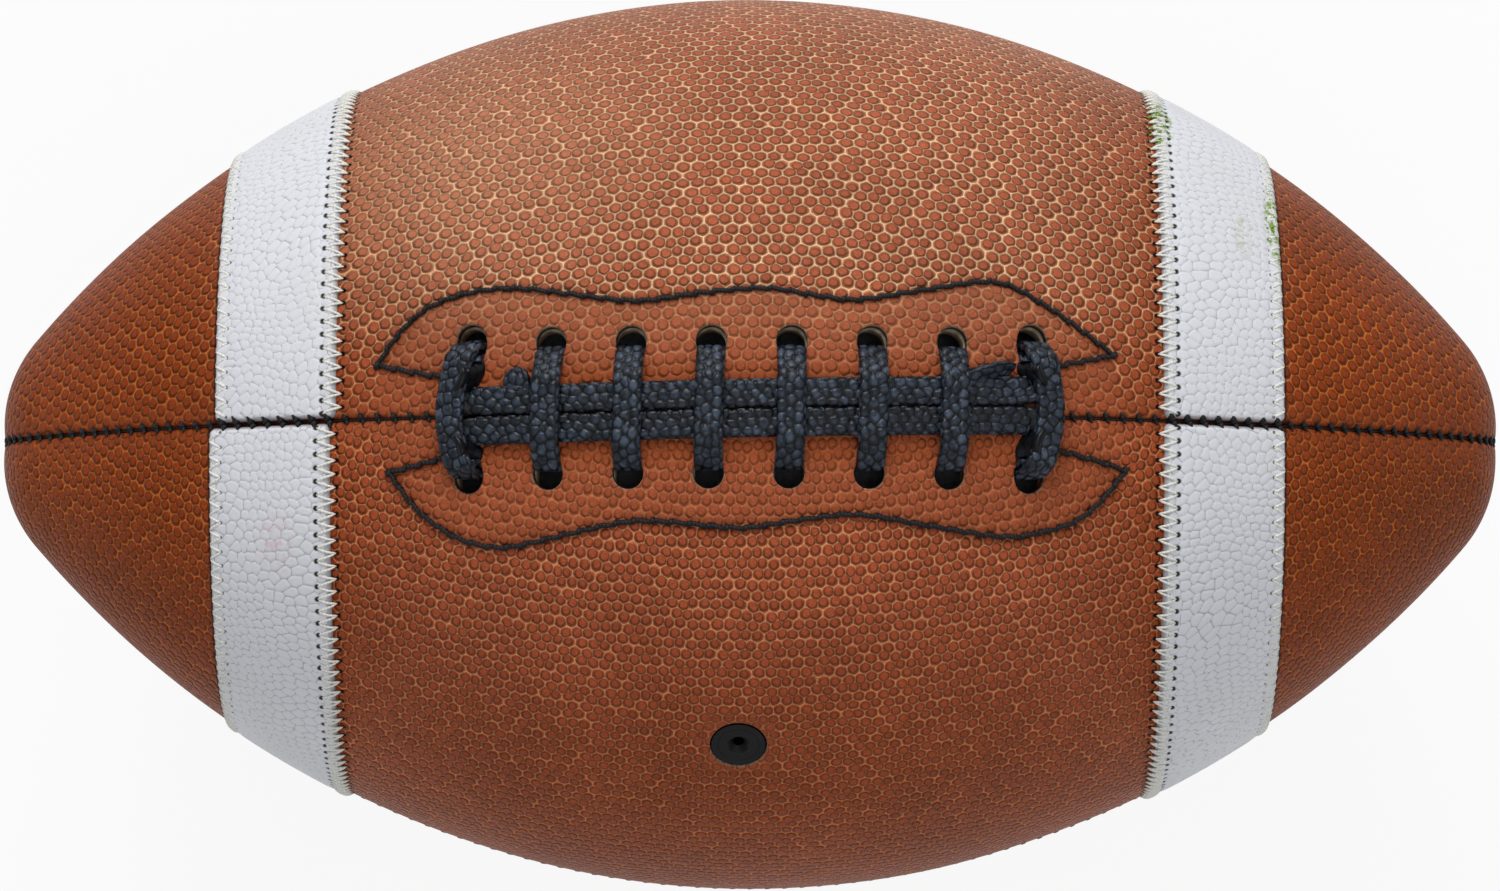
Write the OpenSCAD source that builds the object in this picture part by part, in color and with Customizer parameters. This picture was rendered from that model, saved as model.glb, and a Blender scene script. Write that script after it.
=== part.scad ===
/* [Ball] */
// Length from tip to tip
ball_length = 283; // [279:1:291]
// Width over the middles of two opposite panels
ball_width = 171; // [168:0.5:176]
// Radius of the long arc of a panel at mid length
belly_radius = 161; // [155:1:170]
// Angle of the panel's normal where the belly arc passes into the flank arc
belly_angle = 16; // [12:1:20]
// Radius of the rounded tip of one panel
tip_radius = 25.5; // [23:0.5:28]
// How far each panel's own axis stands off the ball's axis, which swells the four panels
panel_swell = 4.3; // [3:0.1:5]

/* [Leather] */
// Thickness of the leather
leather_thickness = 2; // [1.6:0.1:2.4]
// Gap between the faces of two panels sewn together
seam_gap = 0.3; // [0.2:0.1:0.5]
// Depth of the seam allowance that stands inward along each seam
allowance_depth = 6; // [5:0.5:7]
// Half of the width of the groove that the rolled panel edges leave along a seam
groove_half_width = 1; // [0.8:0.1:1.4]
// Depth of that groove
groove_depth = 0.9; // [0.7:0.1:1.2]

/* [Layers] */
// Thickness of the fabric lining laminated inside each panel
lining_thickness = 1; // [0.8:0.1:1.2]
// Glue line between one layer and the next
glue_line = 0.1; // [0.05:0.05:0.15]
// Wall of the rubber bladder
bladder_wall = 0.6; // [0.5:0.1:1]
// Clearance between the bladder and what lies round it
bladder_clearance = 0.3; // [0.2:0.1:0.5]

/* [Seam thread] */
// Width of the thread that fills a seam's groove
thread_width = 1.2; // [0.8:0.1:1.4]
// How far the thread lies below the leather
thread_sink = 0.2; // [0.1:0.1:0.3]
// Distance from the ball's axis at which the threads end at the tips
thread_end = 3; // [2:0.5:5]

/* [Stripes] */
// Thickness of the white stripes sewn on the two laced panels
stripe_thickness = 0.9; // [0.6:0.1:1.2]
// Distance from mid length to the inner edge of a stripe
stripe_start = 74.8; // [70:0.1:78]
// Width of a stripe measured along the ball's axis
stripe_width = 22.6; // [20:0.1:26]
// Distance kept between a stripe and the seam
stripe_margin = 1.6; // [1.4:0.1:3]
// Size of the cut corner of a stripe
stripe_corner = 3; // [1:0.5:4]

/* [Lacing] */
// Number of cross laces
cross_count = 8; // [5:1:8]
// Distance from one cross lace to the next
lace_pitch = 14.4; // [13.4:0.1:14.8]
// Width of the lace
lace_width = 5.1; // [4.6:0.1:5.4]
// Thickness of the lace
lace_thickness = 1.5; // [1.3:0.1:1.8]
// Gap kept between one strand of the lace and another
strand_gap = 0.45; // [0.45:0.05:0.6]
// Gap between the lace and the leather that it lies on
lace_lie = 0.1; // [0.1:0.05:0.3]
// Distance round the ball from the seam to the inner end of a lace hole
hole_start = 9.6; // [9.4:0.1:10.4]
// Length of a lace hole across the ball
hole_length = 6; // [5.6:0.1:6.6]
// How much further each way the end holes reach, which hold two strands
end_hole_extra = 0.7; // [0.7:0.1:1]
// Room on each side of the lace in its hole
hole_room = 0.25; // [0.2:0.05:0.5]
// Radius at which the lace bends into a hole, at its middle
hole_bend = 1.8; // [1.7:0.1:2]
// Radius at which the lace bends under the leather, at its middle
under_bend = 1.45; // [1.3:0.05:1.6]
// How far the two end laces bow away from the others
end_bow = 2.5; // [0:0.5:3]
// How far the lace keeps below the patches
under_room = 0.4; // [0.2:0.1:0.6]
// How far the opening between the laced panels runs past the end laces
opening_extra = 6; // [5:0.5:9]

/* [Patches and tongue] */
// Thickness of the patches behind the lace holes
patch_thickness = 1.2; // [1:0.1:1.4]
// Half of the length of a patch
patch_half_length = 67; // [64:1:70]
// Width of a patch, from the seam
patch_width = 24; // [20:0.5:26]
// Thickness of the tongue that keeps the lace off the bladder
tongue_thickness = 1.3; // [1.2:0.1:1.3]
// Width of the tongue
tongue_width = 44; // [36:1:48]
// Half of the length of the tongue
tongue_half_length = 64; // [60:1:68]

/* [Valve] */
// Distance of the valve from mid length
valve_shift = -2.1; // [-8:0.1:8]
// Angle round the ball between the valve and the middle of its panel, towards the laces
valve_turn = 1.6; // [0:0.2:4]
// Diameter of the hole in the leather
valve_hole_d = 10.4; // [10.2:0.1:11]
// Diameter of the rubber neck that fills this hole
valve_neck_d = 9.8; // [9.4:0.1:9.9]
// How far the neck's face lies below the leather
valve_sink = 0.4; // [0.2:0.1:0.8]
// Diameter of the patch that joins the neck to the bladder
valve_patch_d = 28; // [24:1:34]
// Thickness of that patch
valve_patch_thickness = 1.2; // [0.8:0.1:1.6]
// Length of the neck behind the patch
valve_neck_tail = 6; // [4:0.5:8]
// Diameter of the removable plug in the neck
valve_plug_d = 5.6; // [5:0.1:6]
// Diameter of the plug's rim
valve_rim_d = 7.4; // [6.6:0.1:8]
// Thickness of the plug's rim
valve_rim_thickness = 0.8; // [0.6:0.1:1]
// Clearance round the plug
valve_plug_clearance = 0.05; // [0.05:0.01:0.1]
// Diameter of the passage for the inflation needle
needle_bore_d = 2; // [1.8:0.1:2.4]
// Depth of the funnel that leads the needle into its passage
needle_funnel_depth = 1; // [0.6:0.1:1.4]

/* [Hidden] */
$fn = 96;

// The ball lies along X with its laces up. Its front side, towards -Y, holds the valve.
quarter = 90;
half_panel = quarter / 2;
front = 1;
rear = -1;
left = -1;
right = 1;
half_length = ball_length / 2;
panel_radius = ball_width / 2 - panel_swell;
overrun = 40;

// Depths below the outside of the leather, layer by layer
lining_depth = leather_thickness + glue_line;
patch_depth = lining_depth + lining_thickness + glue_line;
bladder_depth = lining_depth + lining_thickness + bladder_clearance;
seam_half_gap = seam_gap / 2;
allowance_side = seam_half_gap + leather_thickness;

// The half outline of one panel: a belly arc, a flank arc and a tip arc that meet without a corner.
// Points are [distance from the panel's axis, distance from mid length].
function unit(angle) = [cos(angle), sin(angle)];
belly_centre = [panel_radius - belly_radius, 0];
belly_end = belly_centre + belly_radius * unit(belly_angle);
tip_centre = [0, half_length - tip_radius];
to_belly_end = belly_end - tip_centre;
flank_radius = (to_belly_end * to_belly_end - tip_radius * tip_radius)
    / (2 * (to_belly_end * unit(belly_angle) - tip_radius));
flank_centre = belly_end - flank_radius * unit(belly_angle);
flank_angle = atan2((tip_centre - flank_centre)[1], (tip_centre - flank_centre)[0]);
belly_axis_cut = (belly_radius - panel_radius) * tan(belly_angle);
belly_corner = belly_centre + (belly_radius + overrun) * unit(belly_angle);
flank_corner = tip_centre + (tip_radius + overrun) * unit(flank_angle);

module meridian(inset) {
    intersection() {
        translate(belly_centre) circle(belly_radius - inset);
        polygon([
            [0, -belly_axis_cut], [belly_corner[0], -belly_corner[1]],
            belly_corner, [0, belly_axis_cut]
        ]);
    }
    for (side = [0, 1]) mirror([0, side]) {
        intersection() {
            translate(flank_centre) circle(flank_radius - inset);
            polygon([[0, belly_axis_cut], belly_corner, flank_corner, tip_centre]);
        }
        intersection() {
            translate(tip_centre) circle(tip_radius - inset);
            polygon([tip_centre, flank_corner, [0, half_length + overrun]]);
        }
    }
}

// The full round body whose surface one panel is a quarter of. The panel's middle is towards +Z.
// The revolve starts a quarter turn from there, clear of the corners of the wedge.
module panel_body(inset) {
    translate([0, 0, panel_swell]) rotate([quarter, 0, 0]) rotate([0, quarter, 0])
        rotate_extrude() meridian(inset);
}

// The quarter between the two seam planes of a panel, drawn in from both by a margin
module wedge(margin) {
    point = margin / sin(half_panel);
    reach = ball_width;
    rotate([quarter, 0, quarter])
        linear_extrude(ball_length + overrun, center = true)
            polygon([[0, point], [reach, point + reach], [-reach, point + reach]]);
}

// One layer of a panel, between two depths, drawn in from the seams by a margin
module layer(depth, thickness, margin) {
    difference() {
        intersection() {
            panel_body(depth);
            wedge(margin);
        }
        panel_body(depth + thickness);
    }
}

// Places on the outside of the ball, by the distance x along its axis and the distance s round it
// from the laced seam, towards the rear where s is positive
function belly_slope(x) = asin(x / belly_radius);
function flank_slope(x) = asin((x - flank_centre[1]) / flank_radius);
function slope(x) = abs(x) < belly_end[1] ? belly_slope(x) : sign(x) * flank_slope(abs(x));
function own_radius(x) = abs(x) < belly_end[1]
    ? belly_centre[0] + sqrt(pow(belly_radius, 2) - pow(x, 2))
    : flank_centre[0] + sqrt(pow(flank_radius, 2) - pow(abs(x) - flank_centre[1], 2));
function radius(x, angle) =
    let (off = half_panel - abs(angle))
    panel_swell * cos(off) + sqrt(pow(own_radius(x), 2) - pow(panel_swell * sin(off), 2));
function round_angle(x, s) = s / radius(x, 0) * 180 / PI;
function outward(x, s) =
    let (angle = round_angle(x, s), tilt = slope(x))
    [sin(tilt), cos(tilt) * sin(angle), cos(tilt) * cos(angle)];
function lengthwise(x, s) =
    let (angle = round_angle(x, s), tilt = slope(x))
    [cos(tilt), -sin(tilt) * sin(angle), -sin(tilt) * cos(angle)];
function crosswise(x, s) = let (angle = round_angle(x, s)) [0, cos(angle), -sin(angle)];
function place(x, s, h) =
    let (angle = round_angle(x, s), r = radius(x, angle))
    [x, r * sin(angle), r * cos(angle)] + h * outward(x, s);

// Places of the strands of the lace: x along the ball, s round it and h above the leather
last_cross = cross_count - 1;
function cross_x(k) = (k - last_cross / 2) * lace_pitch;
half_strand = lace_thickness / 2;
strand_step = lace_thickness + strand_gap;
rail_height = lace_lie + half_strand;
over_height = rail_height + strand_step;
rail_side = (lace_width + strand_gap) / 2;
rail_edge = rail_side + lace_width / 2;
near_level = -(patch_depth + patch_thickness + under_room + half_strand);
far_level = near_level - strand_step;
end_hole_start = hole_start - end_hole_extra;
single_s = hole_start + 2 * half_strand;
inner_s = end_hole_start + 2 * half_strand;
outer_s = inner_s + strand_step;
turn_s = inner_s - hole_bend;
rail_turn = turn_s - rail_side;
hole_reach = -near_level + half_strand;
tongue_depth = -far_level + half_strand + under_room;
core_depth = allowance_depth + panel_swell;
recess_depth = tongue_depth + tongue_thickness + bladder_clearance;
recess_half_length = max(patch_half_length, tongue_half_length) + bladder_clearance;
recess_half_width = max(patch_width, tongue_width / 2) + bladder_clearance;
opening_half_length = cross_x(last_cross) + opening_extra;

// A bend of the lace in the plane of s and h, from one angle to another
bend_steps = 3;
wide_bend_steps = 4;
edge_angle = 65;
function bend(centre, r, from, to, steps) =
    [for (i = [0 : steps]) centre + r * unit(from + (to - from) * i / steps)];
function over_edge(s, r, from, steps) = bend([s - hole_bend, rail_height - hole_bend], r, from, 0, steps);
function under_edge(s, level) =
    bend([s - under_bend, level + under_bend], under_bend, 0, -quarter, bend_steps);

// Half of a lace, down through its hole to the run under the leather: a single cross lace, the
// outer strand of an end hole and the inner one, which comes from a rail
single_half = concat(
    [[rail_side, over_height], [rail_edge + strand_gap, over_height]],
    over_edge(single_s, hole_bend, edge_angle, bend_steps),
    under_edge(single_s, near_level)
);
outer_half = concat(
    [[rail_side, over_height]],
    over_edge(inner_s, hole_bend + strand_step, quarter, wide_bend_steps),
    under_edge(outer_s, far_level)
);
inner_half = concat(over_edge(inner_s, hole_bend, quarter, bend_steps), under_edge(inner_s, near_level));
function backwards(list) = [for (i = [len(list) - 1 : -1 : 0]) list[i]];
function mirrored(list) = [for (p = list) [-p[0], p[1]]];

// Points of the lace's route: [x, s, h, angle of its width from the lengthwise direction].
// The end laces bow outward, away from the others.
function bow(k, s) = k == 0 || k == last_cross
    ? (k == 0 ? -1 : 1) * end_bow * max(0, 1 - pow(s / outer_s, 2)) : 0;
function half_route(k, half, side, turn) = [for (p = half) [cross_x(k), side * p[0], p[1], turn]];
function cross_route(k, half) = [
    for (p = concat(backwards(half), [[0, over_height]], mirrored(half)))
        [cross_x(k) + (p[1] > 0 ? bow(k, p[0]) : 0), p[0], p[1], full_turn]
];
turn_steps = 4;
function turn_route(x, way, side, into, start) = [
    for (i = [0 : turn_steps])
        let (a = quarter * (into ? i : turn_steps - i) / turn_steps, swing = quarter * i / turn_steps)
        [
            x - way * rail_turn * (1 - cos(a)),
            side * (turn_s - rail_turn * sin(a)),
            rail_height,
            start + swing
        ]
];
function rail_route(side, from, to, turn) = [
    for (i = [0 : 2 * abs(to - from)])
        [cross_x(from + sign(to - from) * i / 2), side * rail_side, rail_height, turn]
];

// A run under the leather from a hole on one side to a hole on the other. Both its ends are
// [x, s, h]; from a share of its length on, it passes from the one level to the other.
run_shares = [0.2, 0.35, 0.5, 0.65, 0.8];
passing_share = 0.3;
first_pass_share = 0.35;
second_pass_share = 0.5;
last_pass_share = 0.2;
function run(start, end, pass_share, swerve, turn) = [
    for (share = run_shares)
        let (level_share = min(1, max(0, (share - pass_share) / passing_share)))
        [
            start[0] + (end[0] - start[0]) * share + swerve * sin(half_turn * share),
            start[1] + (end[1] - start[1]) * share,
            start[2] + (end[2] - start[2]) * level_share,
            turn
        ]
];
function level_run(k, k_next, s, turn) =
    run([cross_x(k), s, near_level], [cross_x(k_next), -s, near_level], 0, 0, turn);

half_turn = 2 * quarter;
full_turn = 4 * quarter;
inner_end = inner_s - under_bend;
outer_end = outer_s - under_bend;
single_end = single_s - under_bend;
cut_end = under_bend / 2;
lace_route = concat(
    [for (p = half_route(0, backwards(inner_half), 1, 0)) if (p[2] > near_level + cut_end) p],
    turn_route(cross_x(0), -1, 1, true, 0),
    rail_route(1, 1, last_cross - 1, quarter),
    turn_route(cross_x(last_cross), 1, 1, false, quarter),
    half_route(last_cross, inner_half, 1, half_turn),
    level_run(last_cross, last_cross, inner_end, half_turn),
    half_route(last_cross, backwards(inner_half), -1, half_turn),
    turn_route(cross_x(last_cross), 1, -1, true, half_turn),
    rail_route(-1, last_cross - 1, 1, 3 * quarter),
    turn_route(cross_x(0), -1, -1, false, 3 * quarter),
    half_route(0, inner_half, -1, full_turn),
    run([cross_x(0), -inner_end, near_level], [cross_x(0), outer_end, far_level],
        first_pass_share, -strand_step, full_turn),
    cross_route(0, outer_half),
    run([cross_x(0), -outer_end, far_level], [cross_x(1), single_end, near_level],
        second_pass_share, 0, full_turn),
    [for (k = [1 : last_cross - 1]) each concat(
        cross_route(k, single_half),
        k < last_cross - 1
            ? level_run(k, k + 1, -single_end, full_turn)
            : run([cross_x(k), -single_end, near_level], [cross_x(k + 1), outer_end, far_level],
                last_pass_share, 0, full_turn)
    )],
    [for (p = cross_route(last_cross, outer_half)) if (p[1] > 0 || p[2] > far_level + cut_end) p]
);

// The rings of the lace: eight corners of a flat section with blunt edges
lace_blunt_share = 0.25;
blunt = lace_thickness * lace_blunt_share;
half_width = lace_width / 2;
section = [
    [half_width - blunt, -half_strand], [half_width, blunt - half_strand],
    [half_width, half_strand - blunt], [half_width - blunt, half_strand],
    [blunt - half_width, half_strand], [-half_width, half_strand - blunt],
    [-half_width, blunt - half_strand], [blunt - half_width, -half_strand]
];
// Points of the route that lie nearer together than this are one point
same_point = 0.05;
route = [
    for (i = [0 : len(lace_route) - 1])
        if (i == 0 || norm(lace_route[i] - lace_route[i - 1]) > same_point) lace_route[i]
];
centres = [for (p = route) place(p[0], p[1], p[2])];
function along(i) = let (d = centres[min(i + 1, len(centres) - 1)] - centres[max(i - 1, 0)]) d / norm(d);
function across(p) = cos(p[3]) * lengthwise(p[0], p[1]) + sin(p[3]) * crosswise(p[0], p[1]);
function ring(i) =
    let (wide = across(route[i]), thick = cross(along(i), wide), up = thick / norm(thick))
    [for (c = section) centres[i] + c[0] * wide + c[1] * up];
rings = [for (i = [0 : len(route) - 1]) ring(i)];

// Least distance between two places of the lace that lie further apart along it than a few rings
near_rings = 7;
function ring_gap(a, b) = min([for (p = a) min([for (q = b) norm(p - q)])]);
function lace_gap() = min([
    for (i = [0 : len(rings) - 1 - near_rings]) for (j = [i + near_rings : len(rings) - 1])
        if (norm(centres[i] - centres[j]) < lace_width + strand_step) ring_gap(rings[i], rings[j])
]);

module ball_quarter(side, base) rotate([side * (half_panel + (base ? quarter : 0)), 0, 0]) children();

module plain_panel(side, base) {
    ball_quarter(side, base) difference() {
        union() {
            intersection() {
                panel_body(0);
                wedge(seam_half_gap + groove_half_width);
            }
            intersection() {
                panel_body(groove_depth);
                wedge(seam_half_gap);
            }
        }
        panel_body(allowance_depth);
        intersection() {
            panel_body(leather_thickness);
            wedge(allowance_side);
        }
    }
}

// A block centred on the laced seam, above the ball's axis
module seam_block(half_x, half_y) {
    translate([-half_x, -half_y, 0]) cube([2 * half_x, 2 * half_y, ball_width]);
}

// A lace hole has a square inner end, where the lace bends over its edge, and a round outer end
module lace_hole(x, start, length, side) {
    width = lace_width + 2 * hole_room;
    round_end = width / 2;
    middle = side * (start + length / 2);
    translate(place(x, middle, 0))
        rotate([-round_angle(x, middle), 0, 0]) rotate([0, slope(x), 0]) {
            translate([0, side * (length / 2 - round_end), -hole_reach])
                cylinder(h = 2 * hole_reach, r = round_end);
            translate([0, -side * round_end / 2, 0])
                cube([width, length - round_end, 2 * hole_reach], center = true);
        }
}

module lace_holes(side) {
    for (k = [0 : last_cross]) {
        at_end = k == 0 || k == last_cross;
        lace_hole(cross_x(k), at_end ? end_hole_start : hole_start,
            at_end ? hole_length + 2 * end_hole_extra : hole_length, -side);
    }
}

module at_valve() rotate([half_panel - valve_turn, 0, 0]) translate([valve_shift, 0, 0]) children();

module valve_hole(diameter) {
    at_valve() cylinder(h = ball_width, d = diameter);
}

module laced_panel(side) {
    color("sienna") difference() {
        plain_panel(side, false);
        intersection() {
            ball_quarter(side, false) panel_body(leather_thickness);
            seam_block(opening_half_length, allowance_side + glue_line);
        }
        lace_holes(side);
        if (side == front) valve_hole(valve_hole_d);
    }
}

module base_panel(side) {
    color("sienna") plain_panel(side, true);
}

module lining(side, base) {
    color("oldlace") difference() {
        ball_quarter(side, base) layer(lining_depth, lining_thickness, allowance_side + glue_line);
        if (!base) lace_holes(side);
        if (!base && side == front) valve_hole(valve_hole_d);
    }
}

// The thread lies in the groove of a seam and follows the panels on both sides of it.
// The seam is drawn towards +Z and turned to its place.
module seam_thread(angle, open_half_length) {
    color("black") rotate([angle, 0, 0]) difference() {
        intersection() {
            for (side = [front, rear]) intersection() {
                ball_quarter(side, false) difference() {
                    panel_body(thread_sink);
                    panel_body(groove_depth - glue_line);
                }
                translate([0, -side * thread_width / 4, 0])
                    cube([ball_length, thread_width / 2, ball_width], center = true);
            }
            translate([0, 0, thread_end]) seam_block(half_length, thread_width);
        }
        if (open_half_length > 0) seam_block(open_half_length, thread_width);
    }
}

module stripe(side, way) {
    color("white") ball_quarter(side, false) difference() {
        intersection() {
            layer(-glue_line - stripe_thickness, stripe_thickness, stripe_margin);
            translate([way * (stripe_start + stripe_width / 2), 0, 0])
                cube([stripe_width, ball_width, 2 * ball_width], center = true);
        }
        for (seam = [front, rear]) for (edge = [stripe_start, stripe_start + stripe_width])
            rotate([seam * half_panel, 0, 0]) translate([way * edge, seam * stripe_margin, 0])
                linear_extrude(ball_width) rotate(half_panel)
                    square(stripe_corner * sqrt(2), center = true);
    }
}

module lace() {
    sides = len(section);
    last = len(rings) - 1;
    echo(least_gap_of_the_lace_to_itself = lace_gap());
    color("darkslategray") polyhedron(
        points = [for (r = rings) each r],
        faces = concat(
            [[for (j = [0 : sides - 1]) j]],
            [for (i = [0 : last - 1]) for (j = [0 : sides - 1]) each [
                [i * sides + j, (i + 1) * sides + j, (i + 1) * sides + (j + 1) % sides],
                [i * sides + j, (i + 1) * sides + (j + 1) % sides, i * sides + (j + 1) % sides]
            ]],
            [[for (j = [sides - 1 : -1 : 0]) last * sides + j]]
        )
    );
}

// The outline of the patch behind the lace holes of one panel, as its stitching shows it outside
patch_outline_shares = [
    [-0.82, 0], [-0.82, 0.3], [-1, 0.41], [-0.94, 0.6], [-0.85, 0.81], [-0.74, 0.94], [-0.64, 0.98],
    [-0.5, 0.93], [-0.3, 0.85], [0, 0.94], [0.29, 0.86], [0.5, 0.95], [0.64, 1], [0.77, 0.88],
    [0.87, 0.7], [0.94, 0.5], [0.98, 0.44], [0.82, 0.35], [0.82, 0]
];

module lace_patch(side) {
    color("tan") difference() {
        intersection() {
            ball_quarter(side, false) layer(patch_depth, patch_thickness, 0);
            linear_extrude(ball_width) polygon([
                for (p = patch_outline_shares)
                    [p[0] * patch_half_length, -side * max(allowance_side + glue_line, p[1] * patch_width)]
            ]);
        }
        lace_holes(side);
    }
}

// A round body about the ball's own axis, whose surface lies at a depth below the laced seam
module core_body(depth) {
    rotate([quarter, 0, 0]) rotate([0, quarter, 0])
        rotate_extrude() meridian(depth - panel_swell * cos(half_panel));
}

module tongue() {
    color("gray") intersection() {
        difference() {
            core_body(tongue_depth);
            core_body(tongue_depth + tongue_thickness);
        }
        seam_block(tongue_half_length, tongue_width / 2);
    }
}

// The bladder swells into the four panels, with a groove along each seam allowance and a hollow
// under the tongue
module bladder_form(inset) {
    difference() {
        union() {
            for (side = [front, rear]) for (base = [false, true]) ball_quarter(side, base)
                intersection() {
                    panel_body(bladder_depth + inset);
                    wedge(allowance_side + bladder_clearance + inset);
                }
            core_body(core_depth + inset);
        }
        difference() {
            seam_block(recess_half_length + inset, recess_half_width + inset);
            core_body(recess_depth + inset);
        }
    }
}

module bladder() {
    color("dimgray") difference() {
        bladder_form(0);
        bladder_form(bladder_wall);
        valve_hole(valve_neck_d + 2 * glue_line);
    }
}

valve_top = panel_swell + panel_radius - valve_sink;
valve_patch_depth = bladder_depth + bladder_wall + glue_line;
valve_bottom = panel_swell + panel_radius - valve_patch_depth - valve_patch_thickness - valve_neck_tail;

module valve_neck() {
    color("black") difference() {
        union() {
            intersection() {
                ball_quarter(front, false) difference() {
                    panel_body(valve_patch_depth);
                    panel_body(valve_patch_depth + valve_patch_thickness);
                }
                valve_hole(valve_patch_d);
            }
            at_valve() translate([0, 0, valve_bottom])
                cylinder(h = valve_top - valve_bottom, d = valve_neck_d);
        }
        valve_hole(valve_plug_d + 2 * valve_plug_clearance);
        at_valve() translate([0, 0, valve_top - valve_rim_thickness - valve_plug_clearance])
            cylinder(h = overrun, d = valve_rim_d + 2 * valve_plug_clearance);
    }
}

// The funnel opens at half a right angle and runs on past the plug's face
funnel_height = 2 * needle_funnel_depth;

module valve_plug() {
    color("black") at_valve() difference() {
        union() {
            translate([0, 0, valve_bottom]) cylinder(h = valve_top - valve_bottom, d = valve_plug_d);
            translate([0, 0, valve_top - valve_rim_thickness])
                cylinder(h = valve_rim_thickness, d = valve_rim_d);
        }
        cylinder(h = ball_width, d = needle_bore_d);
        translate([0, 0, valve_top - needle_funnel_depth])
            cylinder(h = funnel_height, d1 = needle_bore_d, d2 = needle_bore_d + 2 * funnel_height);
    }
}

laced_panel(front);  // panel_laced_front
laced_panel(rear);  // panel_laced_rear
base_panel(front);  // panel_base_front
base_panel(rear);  // panel_base_rear
lining(front, false);  // lining_laced_front
lining(rear, false);  // lining_laced_rear
lining(front, true);  // lining_base_front
lining(rear, true);  // lining_base_rear
seam_thread(0, opening_half_length);  // seam_thread_laced
seam_thread(quarter, 0);  // seam_thread_front
seam_thread(-quarter, 0);  // seam_thread_rear
seam_thread(2 * quarter, 0);  // seam_thread_base
stripe(front, left);  // stripe_front_left
stripe(front, right);  // stripe_front_right
stripe(rear, left);  // stripe_rear_left
stripe(rear, right);  // stripe_rear_right
lace();
lace_patch(front);  // lace_patch_front
lace_patch(rear);  // lace_patch_rear
tongue();
bladder();
valve_neck();
valve_plug();
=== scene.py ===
"""Looks of an american football: pebbled panels, sewn stripes, stitched seams, lacing and valve."""

import logging
import math
from dataclasses import dataclass
from enum import Enum
from functools import cached_property

import bpy
import numpy as np
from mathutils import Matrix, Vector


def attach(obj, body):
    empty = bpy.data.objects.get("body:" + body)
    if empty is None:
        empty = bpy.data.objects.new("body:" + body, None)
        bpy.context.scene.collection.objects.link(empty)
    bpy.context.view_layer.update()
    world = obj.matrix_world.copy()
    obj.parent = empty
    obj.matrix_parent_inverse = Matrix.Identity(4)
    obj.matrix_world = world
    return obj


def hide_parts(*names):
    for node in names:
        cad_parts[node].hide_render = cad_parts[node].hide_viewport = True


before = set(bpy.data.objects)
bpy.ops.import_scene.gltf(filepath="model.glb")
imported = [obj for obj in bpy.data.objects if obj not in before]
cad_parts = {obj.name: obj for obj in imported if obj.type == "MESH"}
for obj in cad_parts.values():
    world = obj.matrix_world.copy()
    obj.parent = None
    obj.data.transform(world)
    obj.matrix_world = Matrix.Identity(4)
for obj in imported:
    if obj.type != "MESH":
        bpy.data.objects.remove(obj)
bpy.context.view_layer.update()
LOG = logging.getLogger("football")
MM = 0.001
BODY = "root"
TALL = math.sqrt(0.75)  # height of a triangle whose sides are 1
FAR = 9.0  # more than any distance between neighbours in a lattice whose cells are 1 apart
Array = np.ndarray
Material = bpy.types.Material
Socket = bpy.types.NodeSocket


def smoothstep(low: float, high: float, value: Array) -> Array:
    """Smooth rise from 0 at low to 1 at high, 3q^2 - 2q^3 of the share q between them.

    Args:
        low: Value where the rise starts.
        high: Value where it ends.
        value: Values to judge.

    Returns:
        Shares from 0 to 1.
    """
    q = np.clip((value - low) / (high - low), 0, 1)
    return q * q * (3 - 2 * q)


def bell(value: Array, width: float) -> Array:
    """Bell curve: 1 where the value is 0, and 1/e at the width."""
    return np.exp(-((value / width) ** 2))


def shortfall(q: Array) -> Array:
    """What a quarter circle lacks of its full height at the share q of its width, from 1 down to 0."""
    return 1 - np.sqrt(1 - (1 - q) ** 2)


def border_of(grid: Array) -> Array:
    """Values along the border of a grid, once round from its first corner, down the first column."""
    return np.concatenate([grid[:, 0], grid[-1, 1:], grid[-2::-1, -1], grid[0, -2:0:-1]])


def arc_number(value: Array, limits: Array) -> Array:
    """Number, from 0 to 2, of the arc that a value lies on, by the values where the arcs start."""
    return (value > limits[1]).astype(int) + (value > limits[2])


def run_along(points: Array) -> Array:
    """Lengths from the first of a row of points to each of them."""
    return np.concatenate([[0], np.cumsum(np.linalg.norm(np.diff(points, axis=0), axis=1))])


def linked(name: str, data: bpy.types.ID) -> bpy.types.Object:
    """New object with that data in the scene."""
    made = bpy.data.objects.new(name, data)
    bpy.context.scene.collection.objects.link(made)
    return made


def unit(vectors: Array) -> Array:
    """Vectors divided by their own lengths."""
    return vectors / np.maximum(np.linalg.norm(vectors, axis=-1, keepdims=True), 1e-12)


def smooth_path(knots: Array, step: float) -> Array:
    """Points at even steps on the Catmull-Rom curve through the knots.

    Each span is the usual cubic of its four nearest knots; its dense samples are then respaced by length.

    Args:
        knots: Rows of coordinates.
        step: Distance between the points returned.

    Returns:
        Rows of coordinates, the first and last knots among them.
    """
    ends = np.vstack([2 * knots[:1] - knots[1:2], knots, 2 * knots[-1:] - knots[-2:-1]])
    a, b, c, d = ends[:-3], ends[1:-2], ends[2:-1], ends[3:]
    q = np.linspace(0, 1, 24, endpoint=False)[:, None, None]
    dense = 0.5 * (2 * b + (c - a) * q + (2 * a - 5 * b + 4 * c - d) * q**2 + (3 * b - a - 3 * c + d) * q**3)
    dense = np.vstack([dense.transpose(1, 0, 2).reshape(-1, knots.shape[1]), knots[-1:]])
    run = run_along(dense)
    even = np.linspace(0, run[-1], max(2, round(run[-1] / step) + 1))
    return np.column_stack([np.interp(even, run, column) for column in dense.T])


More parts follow.
